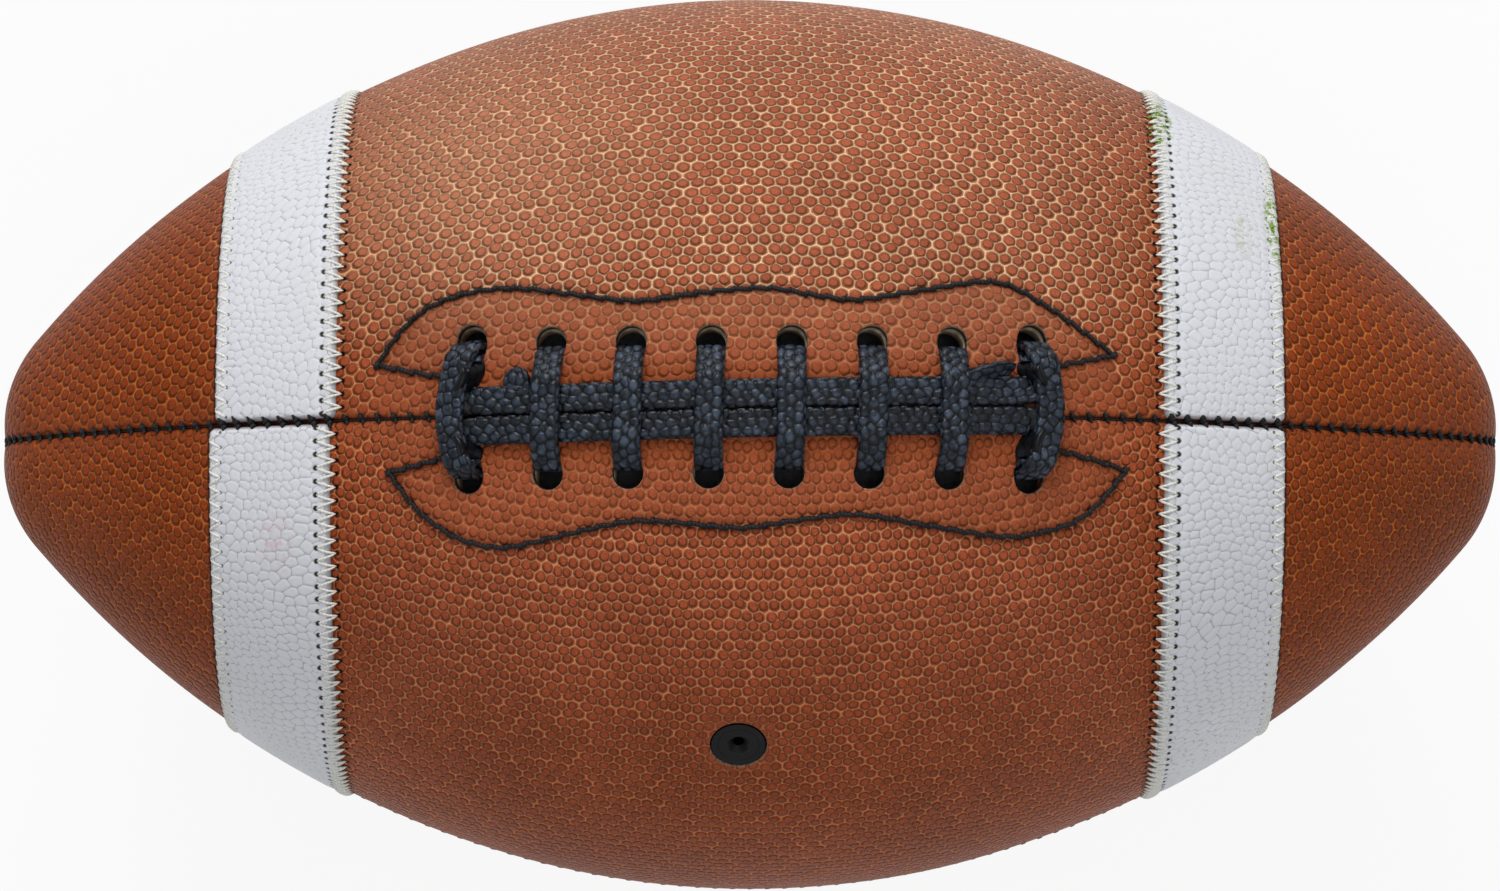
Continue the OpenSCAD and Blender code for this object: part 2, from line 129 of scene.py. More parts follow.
def pebble_cells(u: Array, v: Array, pitch: float, jitter: float, seed: int) -> tuple[Array, Array, Array]:
    """Rounded six-sided cells: distances to the nearest two points of a shaken triangular lattice.

    Lattice points lie at (i + j/2, j * root 3 / 2) times the pitch, each moved by a random share of it.

    Args:
        u: First coordinate.
        v: Second coordinate, as long as u.
        pitch: Distance between neighbouring cells.
        jitter: Largest move of a point, as a share of the pitch.
        seed: Seed of the random moves.

    Returns:
        Distance to the nearest point and to the cell's border, both in pitches, and a random value of the cell.
    """
    size = 97
    table = np.random.default_rng(seed).random((size, size, 3))
    pu, pv = u / pitch, v / pitch
    row = pv / TALL
    i0, j0 = np.round(pu - row / 2).astype(int), np.round(row).astype(int)
    first = np.full(u.shape, FAR)
    second = np.full(u.shape, FAR)
    value = np.zeros(u.shape)
    for di, dj in ((i, j) for i in (-1, 0, 1) for j in (-1, 0, 1)):
        i, j = i0 + di, j0 + dj
        noise = table[i % size, j % size]
        gap = np.hypot(
            i + j / 2 + jitter * (2 * noise[..., 0] - 1) - pu,
            j * TALL + jitter * (2 * noise[..., 1] - 1) - pv,
        )
        value = np.where(gap < first, noise[..., 2], value)
        second = np.minimum(second, np.maximum(first, gap))
        first = np.minimum(first, gap)
    return first, second - first, value


class MeshParts:
    """Grids, tubes and rings gathered into one mesh with a grain map and named marks on its points."""

    def __init__(self) -> None:
        """Starts with nothing gathered."""
        self.points: list[Array] = []
        self.maps: list[Array] = []
        self.marks: dict[str, list[Array]] = {}
        self.faces: list[list[int]] = []
        self.count = 0

    def add_points(self, points: Array, grain: Array, **marks: Array) -> Array:
        """Adds points and returns their numbers in the shape of the grid that they came in.

        Args:
            points: Places, the last axis x, y and z.
            grain: Grain map, the last axis two coordinates in millimetres.
            **marks: Named values, from 0 to 1 or in millimetres, one a point.

        Returns:
            Numbers of the points.
        """
        shape = points.shape[:-1]
        total = int(np.prod(shape))
        self.points.append(points.reshape(-1, 3))
        self.maps.append(np.broadcast_to(grain, shape + (2,)).reshape(-1, 2))
        for name in set(self.marks) | set(marks):
            kept = self.marks.setdefault(name, [np.zeros(self.count)])
            kept.append(np.broadcast_to(marks.get(name, 0.0), shape).reshape(-1))
        numbers = np.arange(self.count, self.count + total).reshape(shape)
        self.count += total
        return numbers

    def add_quads(
        self, numbers: Array, keep: Array | None = None, around: bool = False, flip: bool = False
    ) -> None:
        """Joins a grid of point numbers with four-sided faces.

        Args:
            numbers: Numbers in rows and columns, and possibly in many grids of the same shape.
            keep: Which of the faces are wanted.
            around: Whether the last column joins the first.
            flip: Whether the faces turn the other way.
        """
        if around:
            numbers = np.concatenate([numbers, numbers[..., :1]], axis=-1)
        a, b = numbers[..., :-1, :-1], numbers[..., 1:, :-1]
        c, d = numbers[..., 1:, 1:], numbers[..., :-1, 1:]
        quads = np.stack([a, d, c, b] if flip else [a, b, c, d], axis=-1)
        quads = quads[keep] if keep is not None else quads.reshape(-1, 4)
        self.faces.extend(quads.reshape(-1, 4).tolist())

    def build(self, name: str, material: Material, slot: str, replaces: tuple[str, ...] = ()) -> bpy.types.Object:
        """Makes the object, dresses it and lets it ride on the ball.

        Args:
            name: Name of the piece.
            material: Its finish.
            slot: Not used.
            replaces: Nodes of the frame that it stands for.

        Returns:
            The finished object.
        """
        mesh = bpy.data.meshes.new(name)
        mesh.from_pydata(np.concatenate(self.points).tolist(), [], self.faces)
        corners = np.zeros(len(mesh.loops), np.int32)
        mesh.loops.foreach_get("vertex_index", corners)
        layer = mesh.uv_layers.new(name="grain")
        layer.data.foreach_set("uv", np.concatenate(self.maps)[corners].astype(np.float32).ravel())
        for mark, values in self.marks.items():
            attribute = mesh.attributes.new(mark, "FLOAT", "POINT")
            attribute.data.foreach_set("value", np.concatenate(values).astype(np.float32))
        mesh.polygons.foreach_set("use_smooth", np.ones(len(mesh.polygons), bool))
        mesh.materials.append(material)
        mesh.update()
        piece = linked(name, mesh)
        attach(piece, BODY)
        if replaces:
            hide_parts(*replaces)
        triangles = int(sum(len(f) - 2 for f in self.faces))
        LOG.info("%s: %d points, %d triangles", name, self.count, triangles)
        return piece


@dataclass(frozen=True)
class BallForm:
    """The outside of the ball: four panels, each a quarter of a round body that stands off the ball's axis."""

    length: float = 283 * MM
    width: float = 171 * MM
    belly_radius: float = 161 * MM
    belly_angle: float = math.radians(16)
    tip_radius: float = 25.5 * MM
    swell: float = 4.3 * MM
    rise: float = 3 * MM
    half_panel: float = math.pi / 4
    round_limit: float = 118 * MM

    @cached_property
    def arcs(self) -> tuple[Array, Array, Array, Array]:
        """Centres off the axis and along it, radii and first angles of the belly, flank and tip arcs.

        The flank arc meets the belly arc where its normal has the belly angle, and touches the tip arc.
        """
        way = np.array([math.cos(self.belly_angle), math.sin(self.belly_angle)])
        belly = np.array([self.width / 2 - self.swell - self.belly_radius, 0.0])
        end = belly + self.belly_radius * way
        tip = np.array([0.0, self.length / 2 - self.tip_radius])
        span = end - tip
        radius = (span @ span - self.tip_radius**2) / (2 * (span @ way - self.tip_radius))
        flank = end - radius * way
        turn = math.atan2(*(tip - flank)[::-1])
        centres = np.array([belly, flank, tip])
        radii = np.array([self.belly_radius, radius, self.tip_radius])
        return centres[:, 0], centres[:, 1], radii, np.array([0.0, self.belly_angle, turn, math.pi / 2])

    @cached_property
    def runs(self) -> Array:
        """Lengths along the guide line, which lies a small rise above the outline, to where each arc starts."""
        _, _, radii, turns = self.arcs
        return np.concatenate([[0], np.cumsum((radii + self.rise) * np.diff(turns))])

    def outline(self, off: Array, x: Array) -> tuple[Array, Array, Array]:
        """Distance of places from the outline of one panel's round body, and the way straight out of it.

        Args:
            off: Distances from the panel's own axis.
            x: Distances along it from mid length.

        Returns:
            Signed distance outward, and the outward way off the axis and along it.
        """
        centre_off, centre_x, radii, turns = self.arcs
        turn = np.arctan2(np.abs(x) - centre_x[1], off - centre_off[1])
        k = arc_number(turn, turns)
        a, b = off - centre_off[k], np.abs(x) - centre_x[k]
        far = np.hypot(a, b)
        return far - radii[k], a / far, np.sign(x) * b / far

    def guide(self, t: Array) -> tuple[Array, Array, Array, Array]:
        """Places and outward ways on the guide line round the ball's axis at lengths t from its middle.

        Args:
            t: Lengths along the guide line, positive to the right.

        Returns:
            Distance from the ball's axis, distance along it, and the outward way off it and along it.
        """
        centre_off, centre_x, radii, turns = self.arcs
        run = np.abs(t)
        k = arc_number(run, self.runs)
        turn = turns[k] + (run - self.runs[k]) / (radii[k] + self.rise)
        reach = radii[k] + self.rise
        side = np.where(t < 0, -1.0, 1.0)
        return (
            centre_off[k] + reach * np.cos(turn),
            side * (centre_x[k] + reach * np.sin(turn)),
            np.cos(turn),
            side * np.sin(turn),
        )

    def surface(self, t: Array, a: Array) -> tuple[Array, Array]:
        """Places on a panel, whose middle is towards +Z, where lines square to the guide meet it.

        Args:
            t: Lengths along the guide line.
            a: Angles round the ball's axis from the panel's middle.

        Returns:
            Places and outward ways.
        """
        t, a = np.broadcast_arrays(t, a)
        off, x, way_off, way_x = self.guide(t)
        lift = np.zeros(t.shape)
        for _ in range(6):
            y, z = (off + lift * way_off) * np.sin(a), (off + lift * way_off) * np.cos(a)
            own = np.hypot(y, z - self.swell)
            gap, out_off, out_x = self.outline(own, x + lift * way_x)
            lift = lift - gap
        y, z = (off + lift * way_off) * np.sin(a), (off + lift * way_off) * np.cos(a)
        own = np.maximum(np.hypot(y, z - self.swell), 1e-9)
        ways = np.stack([out_x, out_off * y / own, out_off * (z - self.swell) / own], axis=-1)
        return np.stack([x + lift * way_x, y, z], axis=-1), ways

    def lengths(self, points: Array) -> Array:
        """Lengths along the guide line of any places near the surface."""
        centre_off, centre_x, radii, turns = self.arcs
        off, x = np.hypot(points[..., 1], points[..., 2]), np.abs(points[..., 0])
        turn = np.arctan2(x - centre_x[1], off - centre_off[1])
        k = arc_number(turn, turns)
        turn = np.arctan2(x - centre_x[k], off - centre_off[k])
        return np.sign(points[..., 0]) * (self.runs[k] + (turn - turns[k]) * (radii[k] + self.rise))

    def grain(self, points: Array, middle: float) -> Array:
        """Grain map of a panel in millimetres: the cone that fits the ball at each place, laid flat.

        Args:
            points: Places near the surface.
            middle: Angle of the panel's middle round the ball's axis.

        Returns:
            Coordinates along the panel and across it.
        """
        t = self.lengths(points)
        off, _, _, way_x = self.guide(t)
        a = np.arctan2(points[..., 1], points[..., 2]) - middle
        a = (a + math.pi) % (2 * math.pi) - math.pi
        cone = np.maximum(np.abs(way_x), 1e-4)
        along = t + np.sign(t) * off * (1 - np.cos(a * cone)) / cone
        across = off * np.sin(a * cone) / cone
        return np.stack([along, across], axis=-1) / MM

    def arc_at(self, x: Array) -> Array:
        """Number of the arc at distances x along the ball: 0 on the belly, 1 on the flank."""
        return np.where(np.abs(x) < self.belly_radius * math.sin(self.belly_angle), 0, 1)

    def radius(self, x: Array, angle: Array) -> Array:
        """Distance of the surface from the ball's axis, by x and the angle from the laced seam."""
        centre_off, centre_x, radii, _ = self.arcs
        k = self.arc_at(x)
        own = centre_off[k] + np.sqrt(radii[k] ** 2 - (np.abs(x) - centre_x[k]) ** 2)
        off = self.half_panel - np.abs(angle)
        return self.swell * np.cos(off) + np.sqrt(own**2 - (self.swell * np.sin(off)) ** 2)

    def ways(self, x: Array, s: Array) -> tuple[Array, Array, Array]:
        """Outward, lengthwise and crosswise ways at distances x along the ball and s round it from the laces."""
        centre_off, centre_x, radii, _ = self.arcs
        k = self.arc_at(x)
        tilt = np.sign(x) * np.arcsin((np.abs(x) - centre_x[k]) / radii[k])
        angle = s / self.radius(x, np.zeros(np.shape(x)))
        sin_t, cos_t, sin_a, cos_a = np.sin(tilt), np.cos(tilt), np.sin(angle), np.cos(angle)
        outward = np.stack([sin_t, cos_t * sin_a, cos_t * cos_a], axis=-1)
        lengthwise = np.stack([cos_t, -sin_t * sin_a, -sin_t * cos_a], axis=-1)
        crosswise = np.stack([np.zeros(np.shape(angle)), cos_a, -sin_a], axis=-1)
        return outward, lengthwise, crosswise

    def place(self, x: Array, s: Array, h: Array) -> Array:
        """Places at distances x along the ball, s round it from the laced seam and h above the leather."""
        angle = s / self.radius(x, np.zeros(np.shape(x)))
        r = self.radius(x, angle)
        on = np.stack(np.broadcast_arrays(x, r * np.sin(angle), r * np.cos(angle)), axis=-1)
        return on + np.asarray(h)[..., None] * self.ways(x, s)[0]

    def round_distance(self, points: Array) -> Array:
        """Distance round the ball from the laced seam, as place() takes it, of places near the surface."""
        x = np.clip(points[..., 0], -self.round_limit, self.round_limit)
        return np.arctan2(points[..., 1], points[..., 2]) * self.radius(x, np.zeros(x.shape))


def turned(points: Array, angle: float) -> Array:
    """Points or ways turned round the ball's axis, from +Z towards +Y by the angle."""
    c, s = math.cos(angle), math.sin(angle)
    x, y, z = points[..., 0], points[..., 1], points[..., 2]
    return np.stack([x, y * c + z * s, z * c - y * s], axis=-1)


def short_threads(parts: MeshParts, paths: Array, ways: Array, radius: float, point: float = 1.0) -> None:
    """Adds many short threads of six sides, each thinner at its ends, where it dives into its holes.

    Square to the path, a ring has the radius times 0.35 + 0.65 (1 - q^6), q being its share of the way from
    the middle to an end.

    Args:
        parts: Where they go.
        paths: Places, by thread and by point along it.
        ways: Outward ways of the threads.
        radius: Radius of a thread.
        point: Share of the radius that is left at the far end.
    """
    steps = paths.shape[1]
    along = unit(np.gradient(paths, axis=1))
    side = unit(np.cross(along, ways[:, None, :]))
    up = np.cross(side, along)
    q = np.abs(np.linspace(-1, 1, steps))
    size = (radius * (0.35 + 0.65 * (1 - q**6)) * np.linspace(1, point, steps))[None, :, None, None]
    turn = np.linspace(0, 2 * math.pi, 6, endpoint=False)[None, None, :, None]
    rings = paths[:, :, None] + size * (np.cos(turn) * side[:, :, None] + np.sin(turn) * up[:, :, None])
    reach = np.linalg.norm(paths[:, -1] - paths[:, 0], axis=-1)
    run = np.linspace(0, 1, steps)[None, :, None] * reach[:, None, None]
    grain = np.stack(np.broadcast_arrays(run / MM, turn[..., 0] * radius / MM), axis=-1)
    numbers = parts.add_points(rings, grain)
    parts.add_quads(numbers, around=True)
    parts.faces.extend(numbers[:, 0, :].tolist())
    parts.faces.extend(numbers[:, -1, ::-1].tolist())


def arched(starts: Array, ends: Array, ways: Array, dip: float, rise: float, steps: int = 7) -> Array:
    """Paths of threads that lie over the leather between two holes: a flat arch, dip below it at the holes."""
    q = np.linspace(0, 1, steps)[None, :, None]
    height = rise - (rise + dip) * np.abs(2 * q - 1) ** 4
    return starts[:, None] * (1 - q) + ends[:, None] * q + height * ways[:, None]


class Shader:
    """A material's nodes, written as calls that return sockets."""

    def __init__(self, name: str) -> None:
        """Makes an empty material with its surface shader.

        Args:
            name: Name of the material.
        """
        self.material = bpy.data.materials.new(name)
        self.material.use_nodes = True
        self.tree = self.material.node_tree
        self.tree.nodes.clear()
        self.surface = self.tree.nodes.new("ShaderNodeBsdfPrincipled")
        self.output = self.tree.nodes.new("ShaderNodeOutputMaterial")
        self.tree.links.new(self.surface.outputs[0], self.output.inputs["Surface"])

    def feed(self, target: Socket, value) -> None:
        """Links a socket to an input or gives the input its value, a colour with full opacity."""
        if isinstance(value, Socket):
            self.tree.links.new(value, target)
        else:
            target.default_value = (*value[:3], 1.0) if target.type == "RGBA" else value

    def node(self, kind: str, inputs: dict | None = None, **settings) -> bpy.types.Node:
        """Adds a node, sets its settings and its inputs by name or number.

        Args:
            kind: Node type without its ShaderNode prefix.
            inputs: Values or sockets of its inputs.
            **settings: Properties of the node.

        Returns:
            The node.
        """
        made = self.tree.nodes.new("ShaderNode" + kind)
        for key, value in settings.items():
            setattr(made, key, value)
        for key, value in (inputs or {}).items():
            self.feed(made.inputs[key], value)
        return made

    def math(self, operation: str, a, b=0.0, c=0.0, clamp: bool = False) -> Socket:
        """Output of a Math node."""
        return self.node("Math", {0: a, 1: b, 2: c}, operation=operation, use_clamp=clamp).outputs[0]

    def times(self, a, b) -> Socket:
        """Product of two values."""
        return self.math("MULTIPLY", a, b)

    def times_plus(self, a, b, c) -> Socket:
        """Product of the first two values, plus the third."""
        return self.math("MULTIPLY_ADD", a, b, c)

    def vector(self, operation: str, a, b=(0.0, 0.0, 0.0), c=(0.0, 0.0, 0.0)) -> bpy.types.Node:
        """A Vector Math node."""
        inputs = {0: a, 1: b} if operation != "MULTIPLY_ADD" else {0: a, 1: b, 2: c}
        return self.node("VectorMath", inputs, operation=operation)

    def rise(self, value, low: float, high: float, start=0.0, end=1.0) -> Socket:
        """Smooth rise from start to end while the value goes from low to high."""
        inputs = {"Value": value, "From Min": low, "From Max": high, "To Min": start, "To Max": end}
        return self.node("MapRange", inputs, interpolation_type="SMOOTHSTEP").outputs[0]

    def mix(self, share, a, b, blend: str = "MIX") -> Socket:
        """Colour mixed from two colours."""
        made = self.node("Mix", data_type="RGBA", blend_type=blend)
        for number, value in ((0, share), (6, a), (7, b)):
            self.feed(made.inputs[number], value)
        return made.outputs[2]

    def noise(self, place, scale: float, detail: float = 3.0, roughness: float = 0.55) -> Socket:
        """Value of a noise of that scale, about 0.5 in the middle."""
        inputs = {"Vector": place, "Scale": scale, "Detail": detail, "Roughness": roughness}
        return self.node("TexNoise", inputs).outputs["Fac"]

    def grain(self) -> Socket:
        """The grain map of the piece, in millimetres."""
        return self.node("UVMap", uv_map="grain").outputs[0]

    def mark(self, name: str) -> Socket:
        """A named mark of the piece's points."""
        return self.node("Attribute", attribute_name=name, attribute_type="GEOMETRY").outputs["Fac"]

    def from_row(self, away, step: float, shift: float = 0.0) -> Socket:
        """Distance from the nearest of a row of points at even steps round the ball, in millimetres.

        Args:
            away: Distance from the row's line.
            step: Distance from point to point.
            shift: How far the row is turned from the laced seam, in steps.

        Returns:
            Distance from the nearest point.
        """
        turn = self.times_plus(self.mark("seam_mm"), 1 / step, shift)
        along = self.times(self.math("SUBTRACT", turn, self.math("ROUND", turn)), step)
        spot = self.node("CombineXYZ", {0: away, 1: along}).outputs[0]
        return self.vector("LENGTH", spot).outputs["Value"]

    def place(self) -> Socket:
        """Object coordinates, in metres."""
        return self.node("TexCoord").outputs["Object"]

    def stained(self, colour, stains: tuple) -> Socket:
        """Colour under soft broken stains, each of them 1 less the squared distance from its middle in half sizes.

        Args:
            colour: Colour without them.
            stains: Colour, middle, half sizes and strength of each, in metres.

        Returns:
            Stained colour.
        """
        place = self.place()
        broken = self.rise(self.noise(place, 700.0, 4.0, 0.65), 0.45, 0.62)
        for stain, middle, size, strength in stains:
            away = self.vector("DIVIDE", self.vector("SUBTRACT", place, middle).outputs[0], size).outputs[0]
            spot = self.math("SUBTRACT", 1.0, self.vector("DOT_PRODUCT", away, away).outputs["Value"], clamp=True)
            share = self.times(self.times(spot, broken), strength)
            colour = self.mix(share, colour, stain)
        return colour

    def cells(self, place, pitch: float, jitter: float) -> tuple:
        """Shaken triangular lattice of cells, as pebble_cells() has it, worked out by nodes.

        Args:
            place: Coordinates, in millimetres.
            pitch: Distance between neighbouring cells, in millimetres.
            jitter: Largest move of a cell's point, as a share of the pitch.

        Returns:
            Distance to the nearest point and to the border, in pitches, and a random value of the cell.
        """
        point = self.vector("SCALE", place)
        point.inputs["Scale"].default_value = 1 / pitch
        point = point.outputs[0]
        parts = self.node("SeparateXYZ", {0: point})
        row = self.math("DIVIDE", parts.outputs[1], TALL)
        j = self.math("ROUND", row)
        i = self.math("ROUND", self.times_plus(row, -0.5, parts.outputs[0]))
        number = self.node("CombineXYZ", {0: i, 1: j}).outputs[0]
        here = self.node("CombineXYZ", {0: self.times_plus(j, 0.5, i), 1: self.times(j, TALL)}).outputs[0]
        flat = self.vector("MULTIPLY", point, (1.0, 1.0, 0.0)).outputs[0]
        rest = self.vector("SUBTRACT", flat, here).outputs[0]
        first, second, value = None, None, None
        for di, dj in ((a, b) for a in (-1, 0, 1) for b in (-1, 0, 1)):
            cell = self.vector("ADD", number, (di, dj, 0.0)).outputs[0]
            random = self.node("TexWhiteNoise", {"Vector": cell}, noise_dimensions="2D")
            corner = (di + dj / 2 - jitter, dj * TALL - jitter, 0.0)
            spread = (2 * jitter, 2 * jitter, 0.0)
            spot = self.vector("MULTIPLY_ADD", random.outputs["Color"], spread, corner).outputs[0]
            gap = self.vector("DISTANCE", rest, spot).outputs["Value"]
            if first is None:
                first, second, value = gap, self.math("ADD", gap, FAR), random.outputs["Value"]
                continue
            nearer = self.math("LESS_THAN", gap, first)
            change = self.math("SUBTRACT", random.outputs["Value"], value)
            value = self.times_plus(nearer, change, value)
            second = self.math("MINIMUM", second, self.math("MAXIMUM", first, gap))
            first = self.math("MINIMUM", first, gap)
        return first, self.math("SUBTRACT", second, first), value

    def finish(self, colour, roughness, height=None, distance: float = 0.0, specular: float = 0.5) -> Material:
        """Connects colour, roughness and relief to the surface shader.

        Args:
            colour: Base colour.
            roughness: Roughness.
            height: Relief from 0 to 1.
            distance: Height of a full relief, in metres.
            specular: Specular level, the same all over.

        Returns:
            The finished material.
        """
        for name, value in (("Base Color", colour), ("Roughness", roughness)):
            self.feed(self.surface.inputs[name], value)
        self.surface.inputs["Specular IOR Level"].default_value = specular
        if height is not None:
            bump = self.node("Bump", {"Height": height, "Distance": distance, "Strength": 1.0})
            self.tree.links.new(bump.outputs[0], self.surface.inputs["Normal"])
        return self.material


def tone(red: int, green: int, blue: int) -> tuple[float, float, float]:
    """Linear colour of the eight-bit values that a picture shows."""
    shares = np.array([red, green, blue]) / 255
    linear = np.where(shares <= 0.04045, shares / 12.92, ((shares + 0.055) / 1.055) ** 2.4)
    return tuple(float(value) for value in linear)


GRASS = tone(122, 154, 44)
STAINS = (
    (GRASS, (0.0754, 0.0575, 0.035), (0.0036, 0.0095, 0.012), 2.6),
    (GRASS, (0.0974, 0.037, 0.039), (0.0028, 0.0115, 0.013), 2.2),
    (GRASS, (0.0906, 0.0346, 0.0477), (0.003, 0.006, 0.006), 0.5),
    (tone(215, 170, 180), (-0.086, -0.0215, 0.0574), (0.004, 0.007, 0.008), 0.45),
)


@dataclass(frozen=True)
class StripeSewing:
    """Sizes of the stripes and their rows of needle holes, in millimetres."""

    start: float = 74.8
    width: float = 22.6
    shift: float = 1.1
    inner_row: float = 2.3
    outer_row: float = 2.3
    inner_pitch: float = 2.4
    outer_pitch: float = 2.7


SEWING = StripeSewing()


@dataclass(frozen=True)
class PebbledLeather:
    """Tanned leather: small dark round pebbles that stand in paler fibrous ground, redder towards the tips, with
    painted sheen on the rear side and painted shade towards the tips and the low front side.
    """

    # Tones of pebble, ground and ring. The rear ones are the front ones lit up: a painted sheen on the rear side.
    # The tip ones are redder, which is the leather's own tone, and darker, which is painted shade.
    rear: tuple = (tone(172, 92, 62), tone(200, 132, 94), tone(248, 202, 158))
    front: tuple = (tone(168, 82, 50), tone(194, 106, 66), tone(224, 150, 108))
    tip: tuple = (tone(142, 57, 12), tone(160, 72, 18), tone(198, 112, 50))
    flat: tuple = tone(132, 66, 42)
    # Pale cream of a painted sheen spot on the upper rear of the leather.
    dust_and_sheen_tone: tuple = tone(226, 170, 132)
    # Warmer, darker tone beside the lacing: partly the leather's own tone, partly painted shade between the
    # crosses.
    warm: tuple = tone(150, 72, 34)
    cut_edge: tuple = tone(176, 178, 158)
    # Dark ring at each pebble's foot: a painted shadow.
    foot: tuple = tone(96, 42, 24)
    # Near-black brown of painted shade in seam grooves, stitch pinches, the stitched trough and hole walls.
    dark: tuple = tone(36, 17, 11)
    # Dark of the needle holes and of the line along a stripe's outer edge: painted shade and painted shadow.
    needle: tuple = tone(34, 18, 14)
    pitch: float = 2.26
    jitter: float = 0.14
    hole_away: float = 1.15
    line_away: float = 0.25
    sheen_spot_middle: tuple = (-0.06, 0.052, 0.064)
    sheen_spot_size: tuple = (0.055, 0.04, 0.05)

    def stripe_marks(self, s: Shader, place: Socket, half: float, shift: float) -> Socket:
        """Painted shade of the needle holes before a stripe's inner edge and a painted shadow line along its outer
        one, on half of the ball.

        Args:
            s: Shader that they belong to.
            place: Object coordinates.
            half: 1 for the rear half of the ball, -1 for the front half.
            shift: How much further out the left stripe of that half lies, in millimetres.

        Returns:
            Strength of the marks.
        """
        parts = s.node("SeparateXYZ", {0: place})
        x = s.times(parts.outputs[0], 1 / MM)
        on_left = s.math("LESS_THAN", x, 0.0)
        x = s.times_plus(on_left, -shift, s.math("ABSOLUTE", x))
        on_half = s.math("GREATER_THAN", s.times(parts.outputs[1], half), 0.0)
        on_half = s.times(on_half, s.math("GREATER_THAN", parts.outputs[2], 0.0))
        holes = s.from_row(s.math("SUBTRACT", x, SEWING.start - self.hole_away), SEWING.inner_pitch)
        holes = s.rise(holes, 0.3, 0.62, 1.0, 0.0)
        line = s.math("SUBTRACT", x, SEWING.start + SEWING.width + self.line_away)
        line = s.rise(s.math("ABSOLUTE", line), 0.2, 0.6, 0.75, 0.0)
        return s.times(s.math("MAXIMUM", holes, line), on_half)

    def material(self) -> Material:
        """Builds the finish from the grain map and the marks flat, warm, crease, cut and seam_mm.

        The ragged distance from a pebble's middle gives its dark top, the pale ring round it, the painted shadow
        at its foot and its relief.
        """
        s = Shader("pebbled_leather")
        place, grain = s.place(), s.grain()
        x, y = (s.node("SeparateXYZ", {0: place}).outputs[k] for k in (0, 1))
        on_rear = s.math("GREATER_THAN", y, 0.0)
        stretch = s.node("CombineXYZ", {0: s.rise(on_rear, 0, 1, 1.05, 0.88), 1: s.rise(on_rear, 0, 1, 1.03, 1.0)})
        drift = s.node("TexNoise", {"Vector": place, "Scale": 90.0, "Detail": 1.0}).outputs["Color"]
        warped = s.vector("MULTIPLY_ADD", drift, (1.3, 1.3, 0.0), grain).outputs[0]
        warped = s.vector("MULTIPLY", warped, stretch.outputs[0]).outputs[0]
        first, border, value = s.cells(warped, self.pitch, self.jitter)
        flat, crease, cut = s.mark("flat"), s.mark("crease"), s.mark("cut")
        fibre = s.noise(s.vector("MULTIPLY", place, (1.0, 1.0, 1.6)).outputs[0], 2100.0, 3.0, 0.75)
        ragged = s.times_plus(s.noise(grain, 1.5, 2.0), 0.12, first)
        ragged = s.times_plus(value, -0.07, ragged)
        top = s.rise(ragged, 0.35, 0.48, 1.0, 0.0)
        ridge = s.times_plus(s.noise(grain, 0.9, 2.0), -0.12, border)
        rim = s.times(s.rise(ragged, 0.35, 0.45), s.rise(ridge, -0.05, 0.12, 1.0, 0.0))
        mottle = s.noise(place, 42.0, 4.0)
        # Tip tones towards both tips, and at 0.6 towards the low front side: the leather's own redder tone there,
        # and painted shade, darker towards the bottom.
        end = s.rise(s.math("ABSOLUTE", x), 0.045, 0.11)
        end = s.math("MAXIMUM", end, s.rise(y, -0.078, -0.03, 0.6, 0.0))
        # The rear side takes the rear tones: a painted sheen.
        side = s.rise(y, 0.0, 0.03)
        pebble, ground, ring = (
            s.mix(end, s.mix(side, front, rear), tip) for front, rear, tip in zip(self.front, self.rear, self.tip)
        )
        ring = s.mix(s.times(flat, 0.75), ring, ground)
        base = s.mix(rim, ground, ring)
        base = s.mix(s.times(top, s.times_plus(flat, -0.35, 1.0)), base, pebble)
        # A dark ring round each pebble's foot: painted shadow.
        foot = s.times(s.rise(ragged, 0.34, 0.42), s.rise(ragged, 0.42, 0.48, 1.0, 0.0))
        base = s.mix(s.times(foot, 0.22), base, self.foot)
        change = s.times_plus(value, 0.2, 0.9)
        change = s.times(change, s.rise(fibre, 0.28, 0.72, 0.8, 1.2))
        change = s.times(change, s.rise(mottle, 0.3, 0.7, 0.92, 1.08))
        shade = s.node("CombineXYZ", {0: change, 1: change, 2: change}).outputs[0]
        base = s.mix(1.0, base, shade, "MULTIPLY")
        # A pale spot on the upper rear left: a painted sheen.
        away = s.vector("SUBTRACT", place, self.sheen_spot_middle).outputs[0]
        away = s.vector("DIVIDE", away, self.sheen_spot_size)
        dust_and_sheen = s.math("SUBTRACT", 1.0, s.vector("LENGTH", away.outputs[0]).outputs["Value"], clamp=True)
        base = s.mix(s.times(dust_and_sheen, 0.35), base, self.dust_and_sheen_tone)
        base = s.mix(s.times(flat, 0.4), base, self.flat)
        # Beside the lacing: a warmer tone, darkened as painted shade between the crosses.
        base = s.mix(s.times(s.mark("warm"), 0.6), base, self.warm)
        # Seam grooves, stitch pinches, the stitched trough and the walls darkened: painted shade.
        base = s.mix(s.times(crease, 0.85), base, self.dark)
        # Needle holes and the line at each stripe's outer edge: painted shade and painted shadow.
        for half, shift in ((1.0, 0.0), (-1.0, SEWING.shift)):
            base = s.mix(self.stripe_marks(s, place, half, shift), base, self.needle)
        base = s.mix(s.times(cut, s.rise(fibre, 0.3, 0.6)), base, self.cut_edge)
        dome = s.rise(ragged, 0.26, 0.62, 1.0, 0.0)
        relief = s.times(dome, s.times_plus(flat, -0.55, 1.0))
        relief = s.times_plus(fibre, 0.22, relief)
        return s.finish(base, s.times_plus(top, -0.1, 0.5), relief, 1.1 * MM, 0.07)


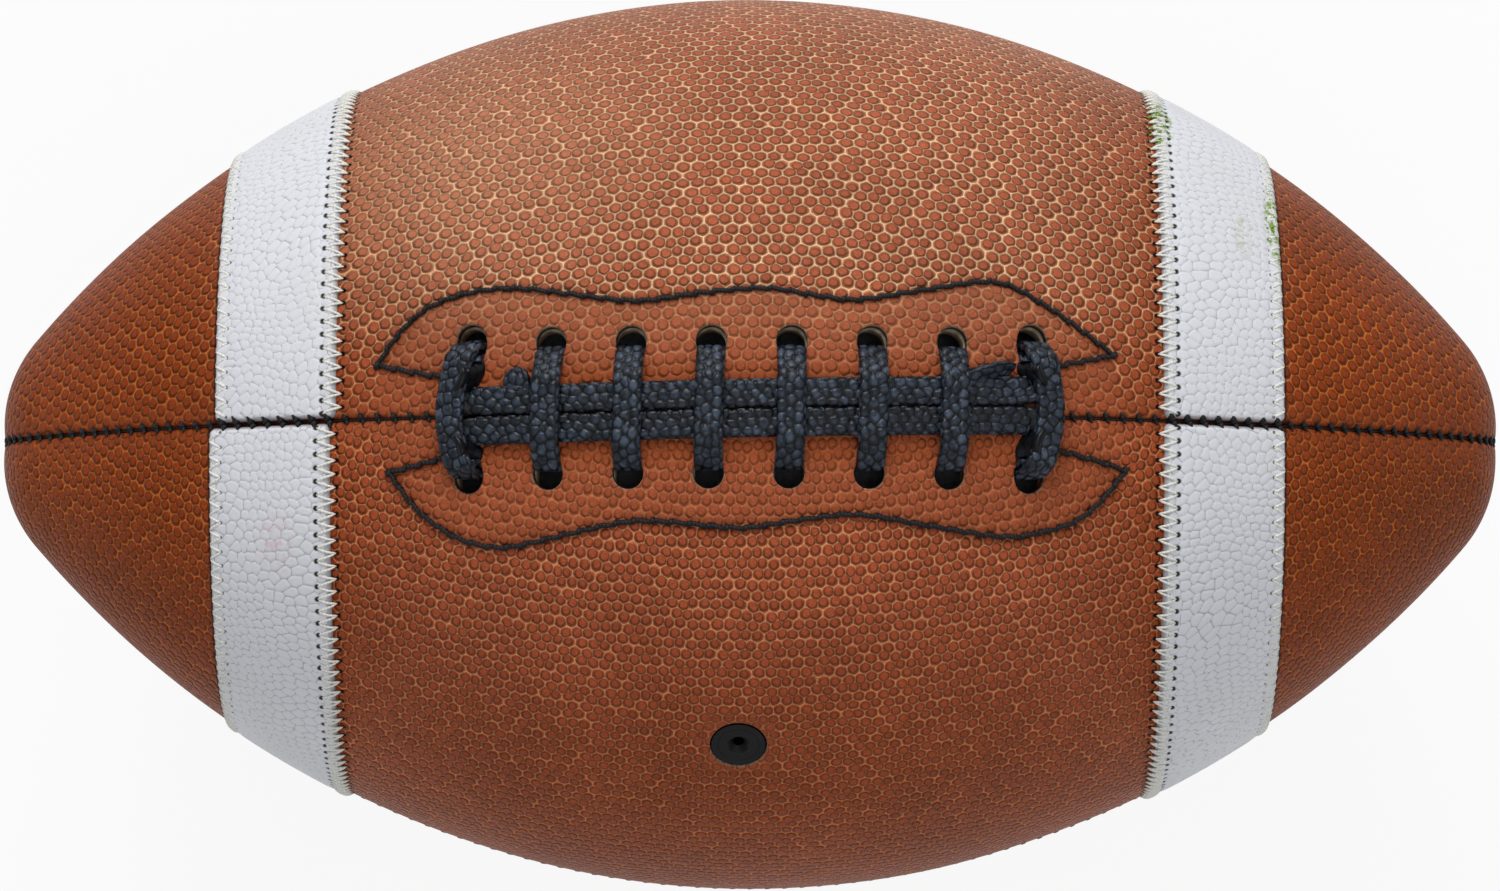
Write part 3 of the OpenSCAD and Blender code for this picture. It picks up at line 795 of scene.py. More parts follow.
@dataclass(frozen=True)
class WhiteLeather:
    """White pebbled leather of the stripes, with grass stains and a pink smear, and painted shade in its crevices
    and needle holes.
    """

    white: tuple = tone(224, 224, 229)
    # Grey of the crevices between cells: painted shade.
    crevice_shade: tuple = tone(172, 173, 180)
    cloudy: tuple = tone(214, 213, 214)
    worn_edge: tuple = tone(165, 160, 158)
    # Black of the needle holes: painted shade.
    hole: tuple = tone(18, 16, 18)
    inner_radius: float = 0.5
    outer_radius: float = 0.3

    def needle_holes(self, s: Shader, away, step: float, radius: float) -> Socket:
        """Round black holes in a row, their shade painted: 1 where the distance from the nearest one is below the
        radius.

        Args:
            s: Shader that they belong to.
            away: Distance from the row, in millimetres.
            step: Distance from hole to hole, in millimetres.
            radius: Radius of a hole, in millimetres.

        Returns:
            Strength of the holes.
        """
        return s.rise(s.from_row(away, step, -0.5), 0.7 * radius, 1.3 * radius, 1.0, 0.0)

    def material(self) -> Material:
        """Builds the finish from the marks cell, edge, edge_mm and seam_mm."""
        s = Shader("white_leather")
        place = s.place()
        fine = s.noise(place, 1500.0, 3.0, 0.7)
        mottle = s.noise(place, 60.0, 4.0)
        # Cells white, the crevices between them grey: painted shade.
        base = s.mix(s.rise(s.mark("cell"), 0.0, 0.5), self.crevice_shade, self.white)
        base = s.mix(s.rise(mottle, 0.45, 0.75, 0.0, 0.25), base, self.cloudy)
        base = s.stained(base, STAINS)
        base = s.mix(s.times(s.mark("edge"), 0.35), base, self.worn_edge)
        inner = s.math("SUBTRACT", s.mark("edge_mm"), SEWING.inner_row)
        inner = self.needle_holes(s, inner, SEWING.inner_pitch, self.inner_radius)
        outer = s.math("SUBTRACT", SEWING.width - SEWING.outer_row, s.mark("edge_mm"))
        outer = s.times(self.needle_holes(s, outer, SEWING.outer_pitch, self.outer_radius), 0.8)
        base = s.mix(s.math("MAXIMUM", inner, outer), base, self.hole)
        relief = s.times_plus(fine, 0.5, s.noise(place, 500.0, 2.0))
        return s.finish(base, s.rise(mottle, 0.3, 0.7, 0.42, 0.55), relief, 0.05 * MM, 0.45)


@dataclass(frozen=True)
class MouldedRubber:
    """Black rubber with a fine grain, a painted soft bluish highlight on its raised cells and painted near-black
    shade in the creases between them.
    """

    name: str
    # Near-black of the creases between cells: painted shade. Pieces without cells take this colour all over.
    dark: tuple = tone(2, 2, 3)
    middle: tuple = tone(19, 24, 33)
    # Bluish light of the cell tops: a painted highlight.
    light: tuple = tone(92, 106, 126)
    dust_and_sheen_tone: tuple = tone(60, 66, 74)
    dim: tuple = tone(10, 10, 11)
    roughness: float = 0.3
    relief: float = 0.04

    def material(self) -> Material:
        """Builds the finish from the marks cell, glint and dim, where a piece has them."""
        s = Shader(self.name)
        place = s.place()
        fine = s.noise(place, 2600.0, 3.0, 0.7)
        dust_and_sheen = s.noise(place, 300.0, 4.0)
        # Creases between the cells near-black: painted shade.
        base = s.mix(s.rise(s.mark("cell"), 0.35, 0.9), self.dark, self.middle)
        # Painted highlight on the cell tops, broken by noise.
        painted_glint = s.times(s.mark("glint"), s.rise(s.noise(place, 700.0, 3.0), 0.35, 0.65, 0.1, 0.8))
        base = s.mix(painted_glint, base, self.light)
        base = s.mix(s.rise(dust_and_sheen, 0.55, 0.8, 0.0, 0.12), base, self.dust_and_sheen_tone)
        base = s.mix(s.times(s.mark("dim"), 0.6), base, self.dim)
        rough = s.times_plus(fine, 0.2, self.roughness - 0.1)
        return s.finish(base, rough, fine, self.relief * MM, 0.25)


@dataclass(frozen=True)
class SpunThread:
    """Waxed thread with the lay of its strands across it."""

    name: str
    colour: tuple
    deep: tuple
    stains: tuple = ()

    def material(self) -> Material:
        """Builds the finish: slanted waves along the grain map, paler on the strands."""
        s = Shader(self.name)
        grain = s.node("SeparateXYZ", {0: s.grain()})
        slant = s.times_plus(grain.outputs[1], 1.6, s.times(grain.outputs[0], 9.0))
        lay = s.times_plus(s.math("SINE", slant), 0.5, 0.5)
        fuzz = s.noise(s.place(), 3000.0, 2.0)
        base = s.mix(s.times(lay, s.rise(fuzz, 0.2, 0.7)), self.deep, self.colour)
        if self.stains:
            base = s.stained(base, self.stains)
        return s.finish(base, 0.6, lay, 0.06 * MM, 0.3)


@dataclass(frozen=True)
class WovenCloth:
    """Plain weave of the linings."""

    name: str
    colour: tuple
    shade: tuple
    count: float = 2400.0

    def material(self) -> Material:
        """Builds the finish: warp and weft waves that take turns on top."""
        s = Shader(self.name)
        parts = s.node("SeparateXYZ", {0: s.place()})
        warp = s.math("SINE", s.times(parts.outputs[0], self.count))
        weft = s.math("SINE", s.times(parts.outputs[1], self.count))
        weave = s.times_plus(s.times(warp, weft), 0.5, 0.5)
        fuzz = s.noise(s.place(), 1500.0, 3.0)
        base = s.mix(s.times(weave, fuzz), self.shade, self.colour)
        return s.finish(base, 0.85, weave, 0.1 * MM, 0.2)


@dataclass(frozen=True)
class PlainHide:
    """Unfinished leather of the hidden pieces, with pores and a nap."""

    name: str
    colour: tuple
    shade: tuple

    def material(self) -> Material:
        """Builds the finish from noises of two sizes."""
        s = Shader(self.name)
        nap = s.noise(s.place(), 900.0, 5.0, 0.7)
        cloud = s.noise(s.place(), 80.0, 3.0)
        base = s.mix(s.rise(s.math("ADD", nap, cloud), 0.7, 1.3), self.shade, self.colour)
        return s.finish(base, 0.8, nap, 0.1 * MM, 0.25)


FORM = BallForm()
LEATHER = 2.0 * MM
SEAM_HALF_GAP = 0.15 * MM
SEAM_STITCH = 3.3 * MM
LACED_OPENING = 56.4 * MM
VALVE_X = -2.1 * MM
VALVE_ANGLE = math.radians(43.4)
VALVE_HOLE = 5.2 * MM


class Side(Enum):
    """The two sides of the laced seam, by the sign of the distance round the ball."""

    FRONT = -1
    REAR = 1


@dataclass(frozen=True)
class Hole:
    """A hole through a laced panel: its middle and half sizes along the ball and round it."""

    x: float
    s: float
    half_x: float
    half_s: float

    def reach(self, turn: Array, extra: float) -> Array:
        """Distance of the rim from the middle, widened by extra, by the angle from the x direction.

        The rim is two half circles joined by straight sides.

        Args:
            turn: Angles of the wanted rim points.
            extra: How much wider the rim is than the hole.

        Returns:
            Distances from the middle.
        """
        a, b = self.half_x + extra, self.half_s + extra
        arc = np.linspace(-math.pi / 2, 1.5 * math.pi, 65)
        xs, ss = a * np.sin(arc), a * np.cos(arc)
        ss = -ss + np.sign(-ss) * (b - a)
        angles = np.arctan2(ss, xs)
        order = np.argsort(angles)
        return np.interp(turn, angles[order], np.hypot(xs, ss)[order], period=2 * math.pi)


@dataclass(frozen=True)
class Lacing:
    """Sizes of the lacing that the panels, the patches' stitching and the lace share."""

    crosses: int = 8
    pitch: float = 14.4 * MM
    width: float = 5.1 * MM
    thickness: float = 1.5 * MM
    gap: float = 0.45 * MM
    lie: float = 0.1 * MM
    hole_start: float = 9.6 * MM
    hole_length: float = 6.0 * MM
    end_extra: float = 0.7 * MM
    room: float = 0.25 * MM
    lean: float = 0.024
    front_share: float = 0.88
    lift: float = 0.45 * MM

    def cross_x(self, k: int) -> float:
        """Place of a cross lace along the ball."""
        return (k - (self.crosses - 1) / 2) * self.pitch

    def holes(self, side: Side) -> list[Hole]:
        """Lace holes of the panel on one side."""
        made = []
        for k in range(self.crosses):
            extra = self.end_extra if k in (0, self.crosses - 1) else 0.0
            half = self.hole_length / 2 + extra
            share = self.front_share if side is Side.FRONT else 1.0
            middle = side.value * share * (self.hole_start - extra + half) + self.lift
            half_x = self.width / 2 + self.room
            made.append(Hole(self.cross_x(k) + self.lean * middle, middle, half_x, max(half_x, share * half)))
        return made


@dataclass(frozen=True)
class PatchOutline:
    """Line of stitches that holds the patch behind the lace holes: knots as x and distance from the seam."""

    side: Side
    knots: tuple[tuple[float, float], ...]
    corners: tuple[int, int]

    def lines(self, step: float) -> list[Array]:
        """The line's three smooth stretches, which meet at its two corners.

        Args:
            step: Distance between points.

        Returns:
            Rows of x and s, in metres, for each stretch.
        """
        knots = np.array(self.knots) * MM
        knots[:, 1] *= self.side.value
        first, last = self.corners
        return [smooth_path(part, step) for part in (knots[: first + 1], knots[first : last + 1], knots[last:])]


REAR_OUTLINE = PatchOutline(
    Side.REAR,
    (
        (-54, 7.0), (-61, 8.3), (-67.2, 9.7), (-63.6, 15), (-58.4, 19.8), (-50.4, 22.6), (-42, 23.2), (-33, 22.0),
        (-20.3, 20.4), (-9, 21.8), (2.7, 22.7), (11, 21.5), (19.3, 20.6), (31, 22.6), (44, 24.5), (51.9, 21),
        (58, 17), (62.7, 13.6), (65.6, 11.5), (60, 10.2), (54, 9),
    ),
    (2, 18),
)
FRONT_OUTLINE = PatchOutline(
    Side.FRONT,
    (
        (-53.7, 7.0), (-59, 8.3), (-65, 9.7), (-60.3, 16), (-56, 19.6), (-51.2, 22.3), (-44, 23.6), (-34, 21.6),
        (-24.8, 19.6), (-18, 19), (-6.6, 20), (-1.2, 20.4), (9, 18.9), (19.3, 17.9), (32, 19.8), (45.3, 21.6),
        (52.5, 20.6), (58.9, 18.4), (63.9, 14), (67.6, 9.2), (61, 7.3), (54, 5.7),
    ),
    (2, 19),
)


@dataclass(frozen=True)
class Panel:
    """One leather panel: pebbled outer face with rolled, stitched edges, and its inner face."""

    name: str
    middle: float
    holes: tuple[Hole, ...] = ()
    outline: PatchOutline | None = None
    spacing: float = 0.75 * MM
    coarse: float = 4.0 * MM
    groove_width: float = 1.15 * MM
    groove_depth: float = 1.1 * MM
    fillet: float = 0.45 * MM
    tip_clearance: float = 1.6 * MM
    collar_margin: float = 1.1 * MM

    def lattice(self, spacing: float) -> tuple[Array, Array]:
        """Lengths t and angles a of a grid whose columns follow the seams closely at both edges.

        Args:
            spacing: Distance between grid lines away from the seams.

        Returns:
            Lengths and angles, one row a station.
        """
        end = FORM.runs[-1] - self.tip_clearance
        t = np.linspace(-end, end, round(2 * end / spacing) + 1)[:, None]
        edge = np.full(t.shape, FORM.half_panel)
        for _ in range(4):
            on, _ = FORM.surface(t, edge)
            off = np.hypot(on[..., 1], on[..., 2])
            edge = FORM.half_panel - np.arcsin(np.minimum(SEAM_HALF_GAP / off, 0.7))
        rim = np.array([0, 0.06, 0.18, 0.36, 0.6, 0.9, 1.25, 1.7, 2.3]) * MM
        if spacing > 1 * MM:
            rim = rim[[0, 5]]
        steps = off * edge
        rim = rim * np.minimum(1, steps / (2 * rim[-1]))
        inner = max(4, round(2 * float(steps.max() - rim.max()) / spacing))
        share = np.linspace(-1, 1, inner + 1)[None, 1:-1]
        near = (steps - rim) / steps
        shares = np.concatenate([-near, share * near[:, -1:], near[:, ::-1]], axis=1)
        return np.broadcast_to(t, shares.shape), shares * edge

    def relief(self, on: Array, x: Array, s: Array) -> tuple[Array, dict[str, Array]]:
        """Height of the face above the plain form, and the marks of its finish.

        The edges roll into the seams by a quarter ellipse and are pinched at each stitch. A stitched line lies
        in a soft trough, and long slow waves of a tenth of a millimetre keep the face from looking turned.

        Args:
            on: Places on the form, with the panel's middle towards +Z.
            x: Places along the ball.
            s: Places round the ball from the laced seam.

        Returns:
            Heights, and the marks flat, warm, crease and seam_mm.
        """
        off = np.hypot(on[..., 1], on[..., 2])
        seam = off * np.sin(FORM.half_panel - np.abs(np.arctan2(on[..., 1], on[..., 2])))
        q = np.clip((seam - SEAM_HALF_GAP) / self.groove_width, 0, 1)
        height = -self.groove_depth * shortfall(q)
        along = FORM.lengths(on)
        stitch = (along / SEAM_STITCH + 0.5) % 1 - 0.5
        pinch = bell(stitch * SEAM_STITCH, 0.6 * MM) * bell(seam, 1.3 * MM)
        height = height - 0.35 * MM * pinch
        waves = np.sin(along * 61 + s * 23) * np.sin(s * 57 - along * 19) + 0.6 * np.sin(along * 117 + s * 71)
        height = height + 0.06 * MM * waves * q
        flat = 0.7 * bell(seam, 3.5 * MM)
        warm = np.zeros(x.shape)
        # Painted shade where the edge rolls into the seam groove and in each stitch's pinch.
        crease = np.maximum(1 - smoothstep(0, 0.7 * MM, seam), 0.7 * pinch)
        if self.outline is not None:
            stretches = self.outline.lines(1.0 * MM)
            dots = np.concatenate(stretches)
            near = (np.abs(x) < 75 * MM) & (np.abs(s) < 30 * MM)
            away = np.hypot(x[near][:, None] - dots[:, 0], s[near][:, None] - dots[:, 1]).min(axis=1)
            trough = np.zeros(x.shape)
            trough[near] = bell(away, 0.95 * MM)
            height = height - 0.32 * MM * trough
            curve = stretches[1]
            limit = np.interp(x, curve[:, 0], np.abs(curve[:, 1]), left=0, right=0)
            inside = smoothstep(-0.6 * MM, 0.6 * MM, limit - np.abs(s)) * (np.abs(x) < 67 * MM)
            flat = np.maximum(flat, 0.75 * inside)
            # Band beside the rails, between the crosses: warmer tone and painted shade.
            warm = bell(np.abs(s) - 6.5 * MM, 2.6 * MM) * (1 - smoothstep(50 * MM, 62 * MM, np.abs(x)))
            # Painted shade along the stitched trough too.
            crease = np.maximum(crease, 0.35 * trough)
        marks = {"flat": np.clip(flat, 0, 1), "warm": warm, "crease": np.clip(crease, 0, 1)}
        return height, {**marks, "seam_mm": np.abs(s) / MM}

    def window(self, x: Array, s: Array, hole: Hole, margin: float) -> tuple[int, int, int, int]:
        """First and last row and column of the block of the grid that a hole's collar takes.

        Args:
            x: Places of the grid along the ball.
            s: Places round it.
            hole: The hole.
            margin: Room kept between the hole and the grid.

        Returns:
            First and last row, first and last column.
        """
        row, column = np.unravel_index(np.argmin(np.hypot(x - hole.x, s - hole.s)), x.shape)
        rows = np.flatnonzero(np.abs(x[:, column] - hole.x) < hole.half_x + margin)
        columns = np.flatnonzero(np.abs(s[row] - hole.s) < hole.half_s + margin)
        return rows[0] - 1, rows[-1] + 1, columns[0] - 1, columns[-1] + 1

    def collar(
        self, parts: MeshParts, numbers: Array, x: Array, s: Array, hole: Hole, block: tuple, deep: float
    ) -> None:
        """Rings from the edge of a grid's window to the rim of its hole, over the rim and down its wall.

        Ring by ring, places move in equal shares from the window's edge to the rim, then follow a quarter
        circle over it and drop straight down through the leather.

        Args:
            parts: Where they go.
            numbers: Numbers of the grid's points.
            x: Places of the grid along the ball.
            s: Places round it.
            hole: The hole.
            block: Rows and columns of the window.
            deep: Depth of the face below the outside, 0 for the outer face.
        """
        r0, r1, c0, c1 = block
        rows = np.concatenate(
            [np.arange(r0, r1), np.full(c1 - c0, r1), np.arange(r1, r0, -1), np.full(c1 - c0, r0)]
        )
        columns = np.concatenate(
            [np.full(r1 - r0, c0), np.arange(c0, c1), np.full(r1 - r0, c1), np.arange(c1, c0, -1)]
        )
        loop, bx, bs = numbers[rows, columns], x[rows, columns], s[rows, columns]
        turn = np.arctan2(bs - hole.s, bx - hole.x)
        tilt_x = FORM.ways(np.array(hole.x), np.array(hole.s))[1][0]
        rim = hole.reach(turn, self.fillet)
        rim_x, rim_s = hole.x + rim * np.cos(turn) * tilt_x, hole.s + rim * np.sin(turn)
        shares = np.array([0.25, 0.5, 0.7, 0.86, 1.0])[:, None]
        ring_x, ring_s = bx + shares * (rim_x - bx), bs + shares * (rim_s - bs)
        ring_h = np.full(ring_x.shape, -deep)
        cut = np.zeros(ring_x.shape)
        if deep == 0:
            arc = np.radians([25, 50, 70, 90, 90, 90, 90])[:, None]
            drop = np.array([0, 0, 0, 0, 0.4, 0.9, 1.55])[:, None] * MM
            size = hole.reach(turn, 0.0)[None, :] + self.fillet * (1 - np.sin(arc))
            ring_x = np.vstack([ring_x, hole.x + size * np.cos(turn) * tilt_x])
            ring_s = np.vstack([ring_s, hole.s + size * np.sin(turn)])
            ring_h = np.vstack([ring_h, np.broadcast_to(-self.fillet * (1 - np.cos(arc)) - drop, size.shape)])
            cut = np.vstack([cut, np.broadcast_to(np.array([0, 0.1, 0.6, 1, 0.2, 0, 0])[:, None], size.shape)])
        places = FORM.place(ring_x, ring_s, np.zeros(ring_x.shape))
        height, marks = self.relief(turned(places, -self.middle), ring_x, ring_s)
        places = FORM.place(ring_x, ring_s, ring_h + (height if deep == 0 else 0))
        marks["flat"] = np.maximum(marks["flat"], 0.6)
        # Painted shade down the hole's wall.
        marks["crease"] = np.maximum(marks["crease"], smoothstep(0.5 * MM, 1.0 * MM, -ring_h))
        new = parts.add_points(places, FORM.grain(places, self.middle), cut=cut, **marks)
        parts.add_quads(np.vstack([loop[None, :], new]), around=True, flip=deep == 0)

    def face(self, parts: MeshParts, spacing: float, deep: float) -> None:
        """One face of the panel with its holes, and for the outer face the wall round its edge.

        Args:
            parts: Where it goes.
            spacing: Distance between grid lines.
            deep: Depth below the outside, 0 for the outer face.
        """
        t, a = self.lattice(spacing)
        on, ways = FORM.surface(t, a)
        at, out = turned(on, self.middle), turned(ways, self.middle)
        x, s = at[..., 0], FORM.round_distance(at)
        height, marks = self.relief(on, x, s)
        if deep > 0:
            height, marks = np.full(x.shape, -deep), {}
        grain = FORM.grain(at, self.middle)
        numbers = parts.add_points(at + height[..., None] * out, grain, **marks)
        keep = np.ones((x.shape[0] - 1, x.shape[1] - 1), bool)
        blocks = [self.window(x, s, hole, self.collar_margin) for hole in self.holes]
        for r0, r1, c0, c1 in blocks:
            keep[r0:r1, c0:c1] = False
        parts.add_quads(numbers, keep=keep, flip=deep != 0)
        for hole, block in zip(self.holes, blocks):
            self.collar(parts, numbers, x, s, hole, block, deep)
        if deep == 0:
            rim = border_of(numbers)
            order = border_of(np.arange(numbers.size).reshape(numbers.shape))
            wall = at.reshape(-1, 3)[order] - LEATHER * out.reshape(-1, 3)[order]
            # The wall round the panel's edge is fully painted shade.
            low = parts.add_points(wall[None], grain.reshape(-1, 2)[order][None], crease=1.0)
            parts.add_quads(np.vstack([rim[None], low]), around=True)

    def build(self, material: Material) -> None:
        """Makes the panel, which stands for its CAD node."""
        parts = MeshParts()
        self.face(parts, self.spacing, 0.0)
        self.face(parts, self.coarse, LEATHER)
        parts.build("leather_" + self.name, material, "panel_leather", (self.name,))


@dataclass(frozen=True)
class Stripe:
    """One white stripe, sewn on a laced panel, with its two rows of needle holes."""

    name: str
    side: Side
    way: int
    start: float = SEWING.start * MM
    width: float = SEWING.width * MM
    thickness: float = 0.95 * MM
    lip: float = 0.3 * MM
    margin: float = 0.4 * MM
    corner: float = 1.3 * MM
    grid: float = 0.25 * MM
    inner_row: float = SEWING.inner_row * MM
    outer_row: float = SEWING.outer_row * MM
    inner_pitch: float = SEWING.inner_pitch * MM
    outer_pitch: float = SEWING.outer_pitch * MM
    cell_pitch: float = 1.95
    cell_jitter: float = 0.25
    cell_stretch: float = 1.25

    def span(self, x: Array) -> Array:
        """Distance round the ball from the laced seam to the far edge, at places x."""
        radius = FORM.radius(x, np.zeros(np.shape(x)))
        return (math.pi / 2 - self.margin / radius) * radius

    def build(self, material: Material) -> None:
        """Makes the stripe: a shell whose edges curl down by a quarter ellipse, with raised pebbles."""
        rows = round(float(self.span(np.array([self.start]))[0]) / self.grid)
        v = np.linspace(0, 1, rows + 1)[:, None]
        edge = np.array([0, 0.08, 0.22, 0.42, 0.7]) * MM
        columns = np.concatenate([edge, np.linspace(1.0 * MM, self.width - 1.0 * MM, 80), self.width - edge[::-1]])
        x = self.start + columns[None, :]
        low = self.margin
        far = self.span(x)
        s = low + v * (far - low)
        end = np.minimum(s - low, far - s)
        inset = self.corner - np.sqrt(np.maximum(self.corner**2 - np.maximum(self.corner - end, 0) ** 2, 0))
        x = self.start + inset + (columns / self.width)[None, :] * (self.width - 2 * inset)
        border = np.minimum(np.minimum(x - self.start - inset, self.start + self.width - inset - x), end)
        q = np.clip(border / (0.7 * MM), 0, 1)
        height = self.lip + (self.thickness - self.lip) * np.sqrt(1 - (1 - q) ** 2)
        height = height - 1.05 * MM * shortfall(np.clip(end / (1.1 * MM), 0, 1))
        inner, outer = x - self.start - self.inner_row, self.start + self.width - self.outer_row - x
        inner_hole = ((s / self.inner_pitch) % 1 - 0.5) * self.inner_pitch
        outer_hole = ((s / self.outer_pitch) % 1 - 0.5) * self.outer_pitch
        pit = bell(np.hypot(inner, inner_hole), 0.32 * MM) + 0.55 * bell(np.hypot(outer, outer_hole), 0.3 * MM)
        pit = pit * (end > 1.2 * MM)
        press = bell(inner, 0.9 * MM) + bell(outer, 0.9 * MM)
        middle = self.side.value * FORM.half_panel
        bx, bs = self.way * x, self.side.value * s
        base = FORM.place(bx, bs, np.zeros(x.shape))
        grain = FORM.grain(base, middle)
        swirl = 0.9 * np.sin(grain[..., 1] / 5.5 + self.way) + 0.5 * np.sin(grain[..., 0] / 3.1)
        u, w = grain[..., 1] + swirl, grain[..., 0] / self.cell_stretch + swirl
        seed = 5 if self.side is Side.REAR else 7
        _, gap, _ = pebble_cells(u, w, self.cell_pitch, self.cell_jitter, seed)
        cell = smoothstep(0.0, 0.23, gap) * smoothstep(0.2 * MM, 1.2 * MM, border)
        height = height + 0.17 * MM * (cell - 0.7) - 0.12 * MM * press - 0.3 * MM * pit
        top = FORM.place(bx, bs, height)
        parts = MeshParts()
        marks = {
            "cell": cell, "edge": 1 - smoothstep(0, 0.6 * MM, border),
            "edge_mm": (x - self.start) / MM, "seam_mm": s / MM,
        }
        flip = self.way * self.side.value < 0
        numbers = parts.add_points(top, grain, **marks)
        parts.add_quads(numbers, flip=not flip)
        rim = border_of(numbers)
        foot = FORM.place(bx, bs, np.minimum(height - self.lip, 0.02 * MM)).reshape(-1, 3)[rim]
        low_ring = parts.add_points(foot[None], grain.reshape(-1, 2)[rim][None], edge=1.0)
        parts.add_quads(np.vstack([rim[None], low_ring]), around=True, flip=not flip)
        parts.faces.append(low_ring[0].tolist() if not flip else low_ring[0][::-1].tolist())
        parts.build("white_" + self.name, material, "stripe_leather", (self.name,))

    def stitches(self, parts: MeshParts) -> None:
        """Adds the zigzag threads over both long edges, each from a needle hole to beyond the edge.

        Args:
            parts: Where they go.
        """
        rows = (
            (self.start, 1, self.inner_row, -1.0 * MM, self.inner_pitch, (0.6, 0.9, 0.98, 0.96, 0.85, 0.5, 0.0)),
            (
                self.start + self.width, -1, self.outer_row, -0.15 * MM, self.outer_pitch,
                (0.6, 0.88, 0.95, 0.93, 0.85, 0.6, 0.15),
            ),
        )
        for edge, inward, inside, outside, pitch, heights in rows:
            far = float(self.span(np.array(edge)))
            holes = (np.arange(int((far - self.margin) / pitch)) + 0.5) * pitch
            outs = holes[:-1] + pitch / 2
            pairs_s = np.concatenate([np.stack([holes[:-1], outs], 1), np.stack([holes[1:], outs], 1)])
            q = np.linspace(0, 1, 7)[None, :]
            s = pairs_s[:, :1] * (1 - q) + pairs_s[:, 1:] * q
            x = np.broadcast_to(edge + inward * (inside * (1 - q) + outside * q), s.shape)
            h = np.broadcast_to(np.array(heights)[None, :] * MM, s.shape)
            paths = FORM.place(self.way * x, self.side.value * s, h)
            ways = FORM.ways(self.way * x[:, 3], self.side.value * s[:, 3])[0]
            short_threads(parts, paths, ways, 0.24 * MM)


@dataclass(frozen=True)
class SeamStitches:
    """Thread in the groove of a seam and its slanted stitches, from tip to tip."""

    name: str
    angle: float
    open_half: float = 0.0
    tip_clearance: float = 2.6 * MM
    ring_step: float = 1.1 * MM
    core_depth: float = 0.95 * MM
    stripe_start: float = 75 * MM
    stripe_end: float = 98 * MM

    def on_seam(self, t: Array) -> tuple[Array, Array]:
        """Places on the seam and ways outward in its plane, at lengths along the guide line."""
        on, ways = FORM.surface(t, np.full(t.shape, -FORM.half_panel))
        on, ways = turned(on, self.angle + FORM.half_panel), turned(ways, self.angle + FORM.half_panel)
        across = turned(np.array([0.0, 1.0, 0.0]), self.angle)
        return on, unit(ways - (ways @ across)[..., None] * across)

    def build(self, material: Material) -> None:
        """Makes the thread along the groove and a slanted stitch at each step."""
        parts = MeshParts()
        end = FORM.runs[-1] - self.tip_clearance
        runs = [(-end, end)] if self.open_half == 0 else [(-end, -self.open_half), (self.open_half, end)]
        across = turned(np.array([0.0, 1.0, 0.0]), self.angle)
        turn = np.linspace(0, 2 * math.pi, 8, endpoint=False)[None, :, None]
        for low, high in runs:
            t = np.linspace(low, high, round((high - low) / self.ring_step))
            on, out = self.on_seam(t)
            core = on - self.core_depth * out
            size = np.where((t == low) | (t == high), 0.02, 1.0)[:, None, None] * MM
            ring = core[:, None] + size * (0.3 * np.cos(turn) * across + 0.4 * np.sin(turn) * out[:, None])
            grain = np.stack(np.broadcast_arrays(t[:, None] / MM, turn[..., 0]), axis=-1)
            numbers = parts.add_points(ring, grain)
            parts.add_quads(numbers, around=True)
            parts.faces.extend([numbers[0].tolist(), numbers[-1, ::-1].tolist()])
            steps = np.arange(math.ceil(low / SEAM_STITCH + 0.4), math.floor(high / SEAM_STITCH - 0.4) + 1)
            t = steps * SEAM_STITCH
            on, out = self.on_seam(t)
            along = unit(np.cross(across[None, :], out))
            place = np.abs(on[:, 0])
            on_stripe = (place > self.stripe_start) & (place < self.stripe_end) & (self.open_half > 0)
            q = np.linspace(0, 1, 7)[None, :, None]
            for these, grow, lift in ((~on_stripe, 1.0, 0.0), (on_stripe, 1.45, 0.85)):
                foot = (on + 0.25 * MM * along + (0.5 * lift - 0.5) * MM * out)[these]
                for way_along, way_across, radius in ((-0.75, 1.5, 0.66), (0.55, -1.1, 0.54)):
                    tip = on + grow * MM * (way_along * along + way_across * across) + (lift - 0.3) * MM * out
                    paths = foot[:, None] * (1 - q) + tip[these][:, None] * q
                    paths = paths + 0.25 * MM * np.sin(math.pi * q) * out[these][:, None]
                    short_threads(parts, paths, out[these], grow * radius * MM, 0.12)
        parts.build("stitched_" + self.name, material, "thread", (self.name,))


@dataclass(frozen=True)
class PatchStitches:
    """Black lock stitches along the outline of a patch."""

    outline: PatchOutline
    step: float = 3.3 * MM
    radius: float = 0.46 * MM
    swing: float = 0.24 * MM

    def build(self, material: Material) -> None:
        """Makes one short thread a stitch, with a small knot where two meet."""
        parts = MeshParts()
        for line in self.outline.lines(self.step):
            on = FORM.place(line[:, 0], line[:, 1], np.full(len(line), -0.12 * MM))
            ways = FORM.ways(line[:, 0], line[:, 1])[0]
            along = unit(np.gradient(on, axis=0))
            side = unit(np.cross(ways, along))
            off = self.swing * side
            paths = arched(on[:-1] + off[:-1], on[1:] - off[1:], ways[:-1], 0.1 * MM, 0.26 * MM)
            short_threads(parts, paths, ways[:-1], self.radius)
            turned_way = unit(along + 0.9 * side)
            knots = arched(on - 0.6 * MM * turned_way, on + 0.6 * MM * turned_way, ways, 0.3 * MM, 0.3 * MM)
            short_threads(parts, knots, ways, self.radius * 1.1)
        parts.build(f"patch_stitches_{self.outline.side.name.lower()}", material, "thread")


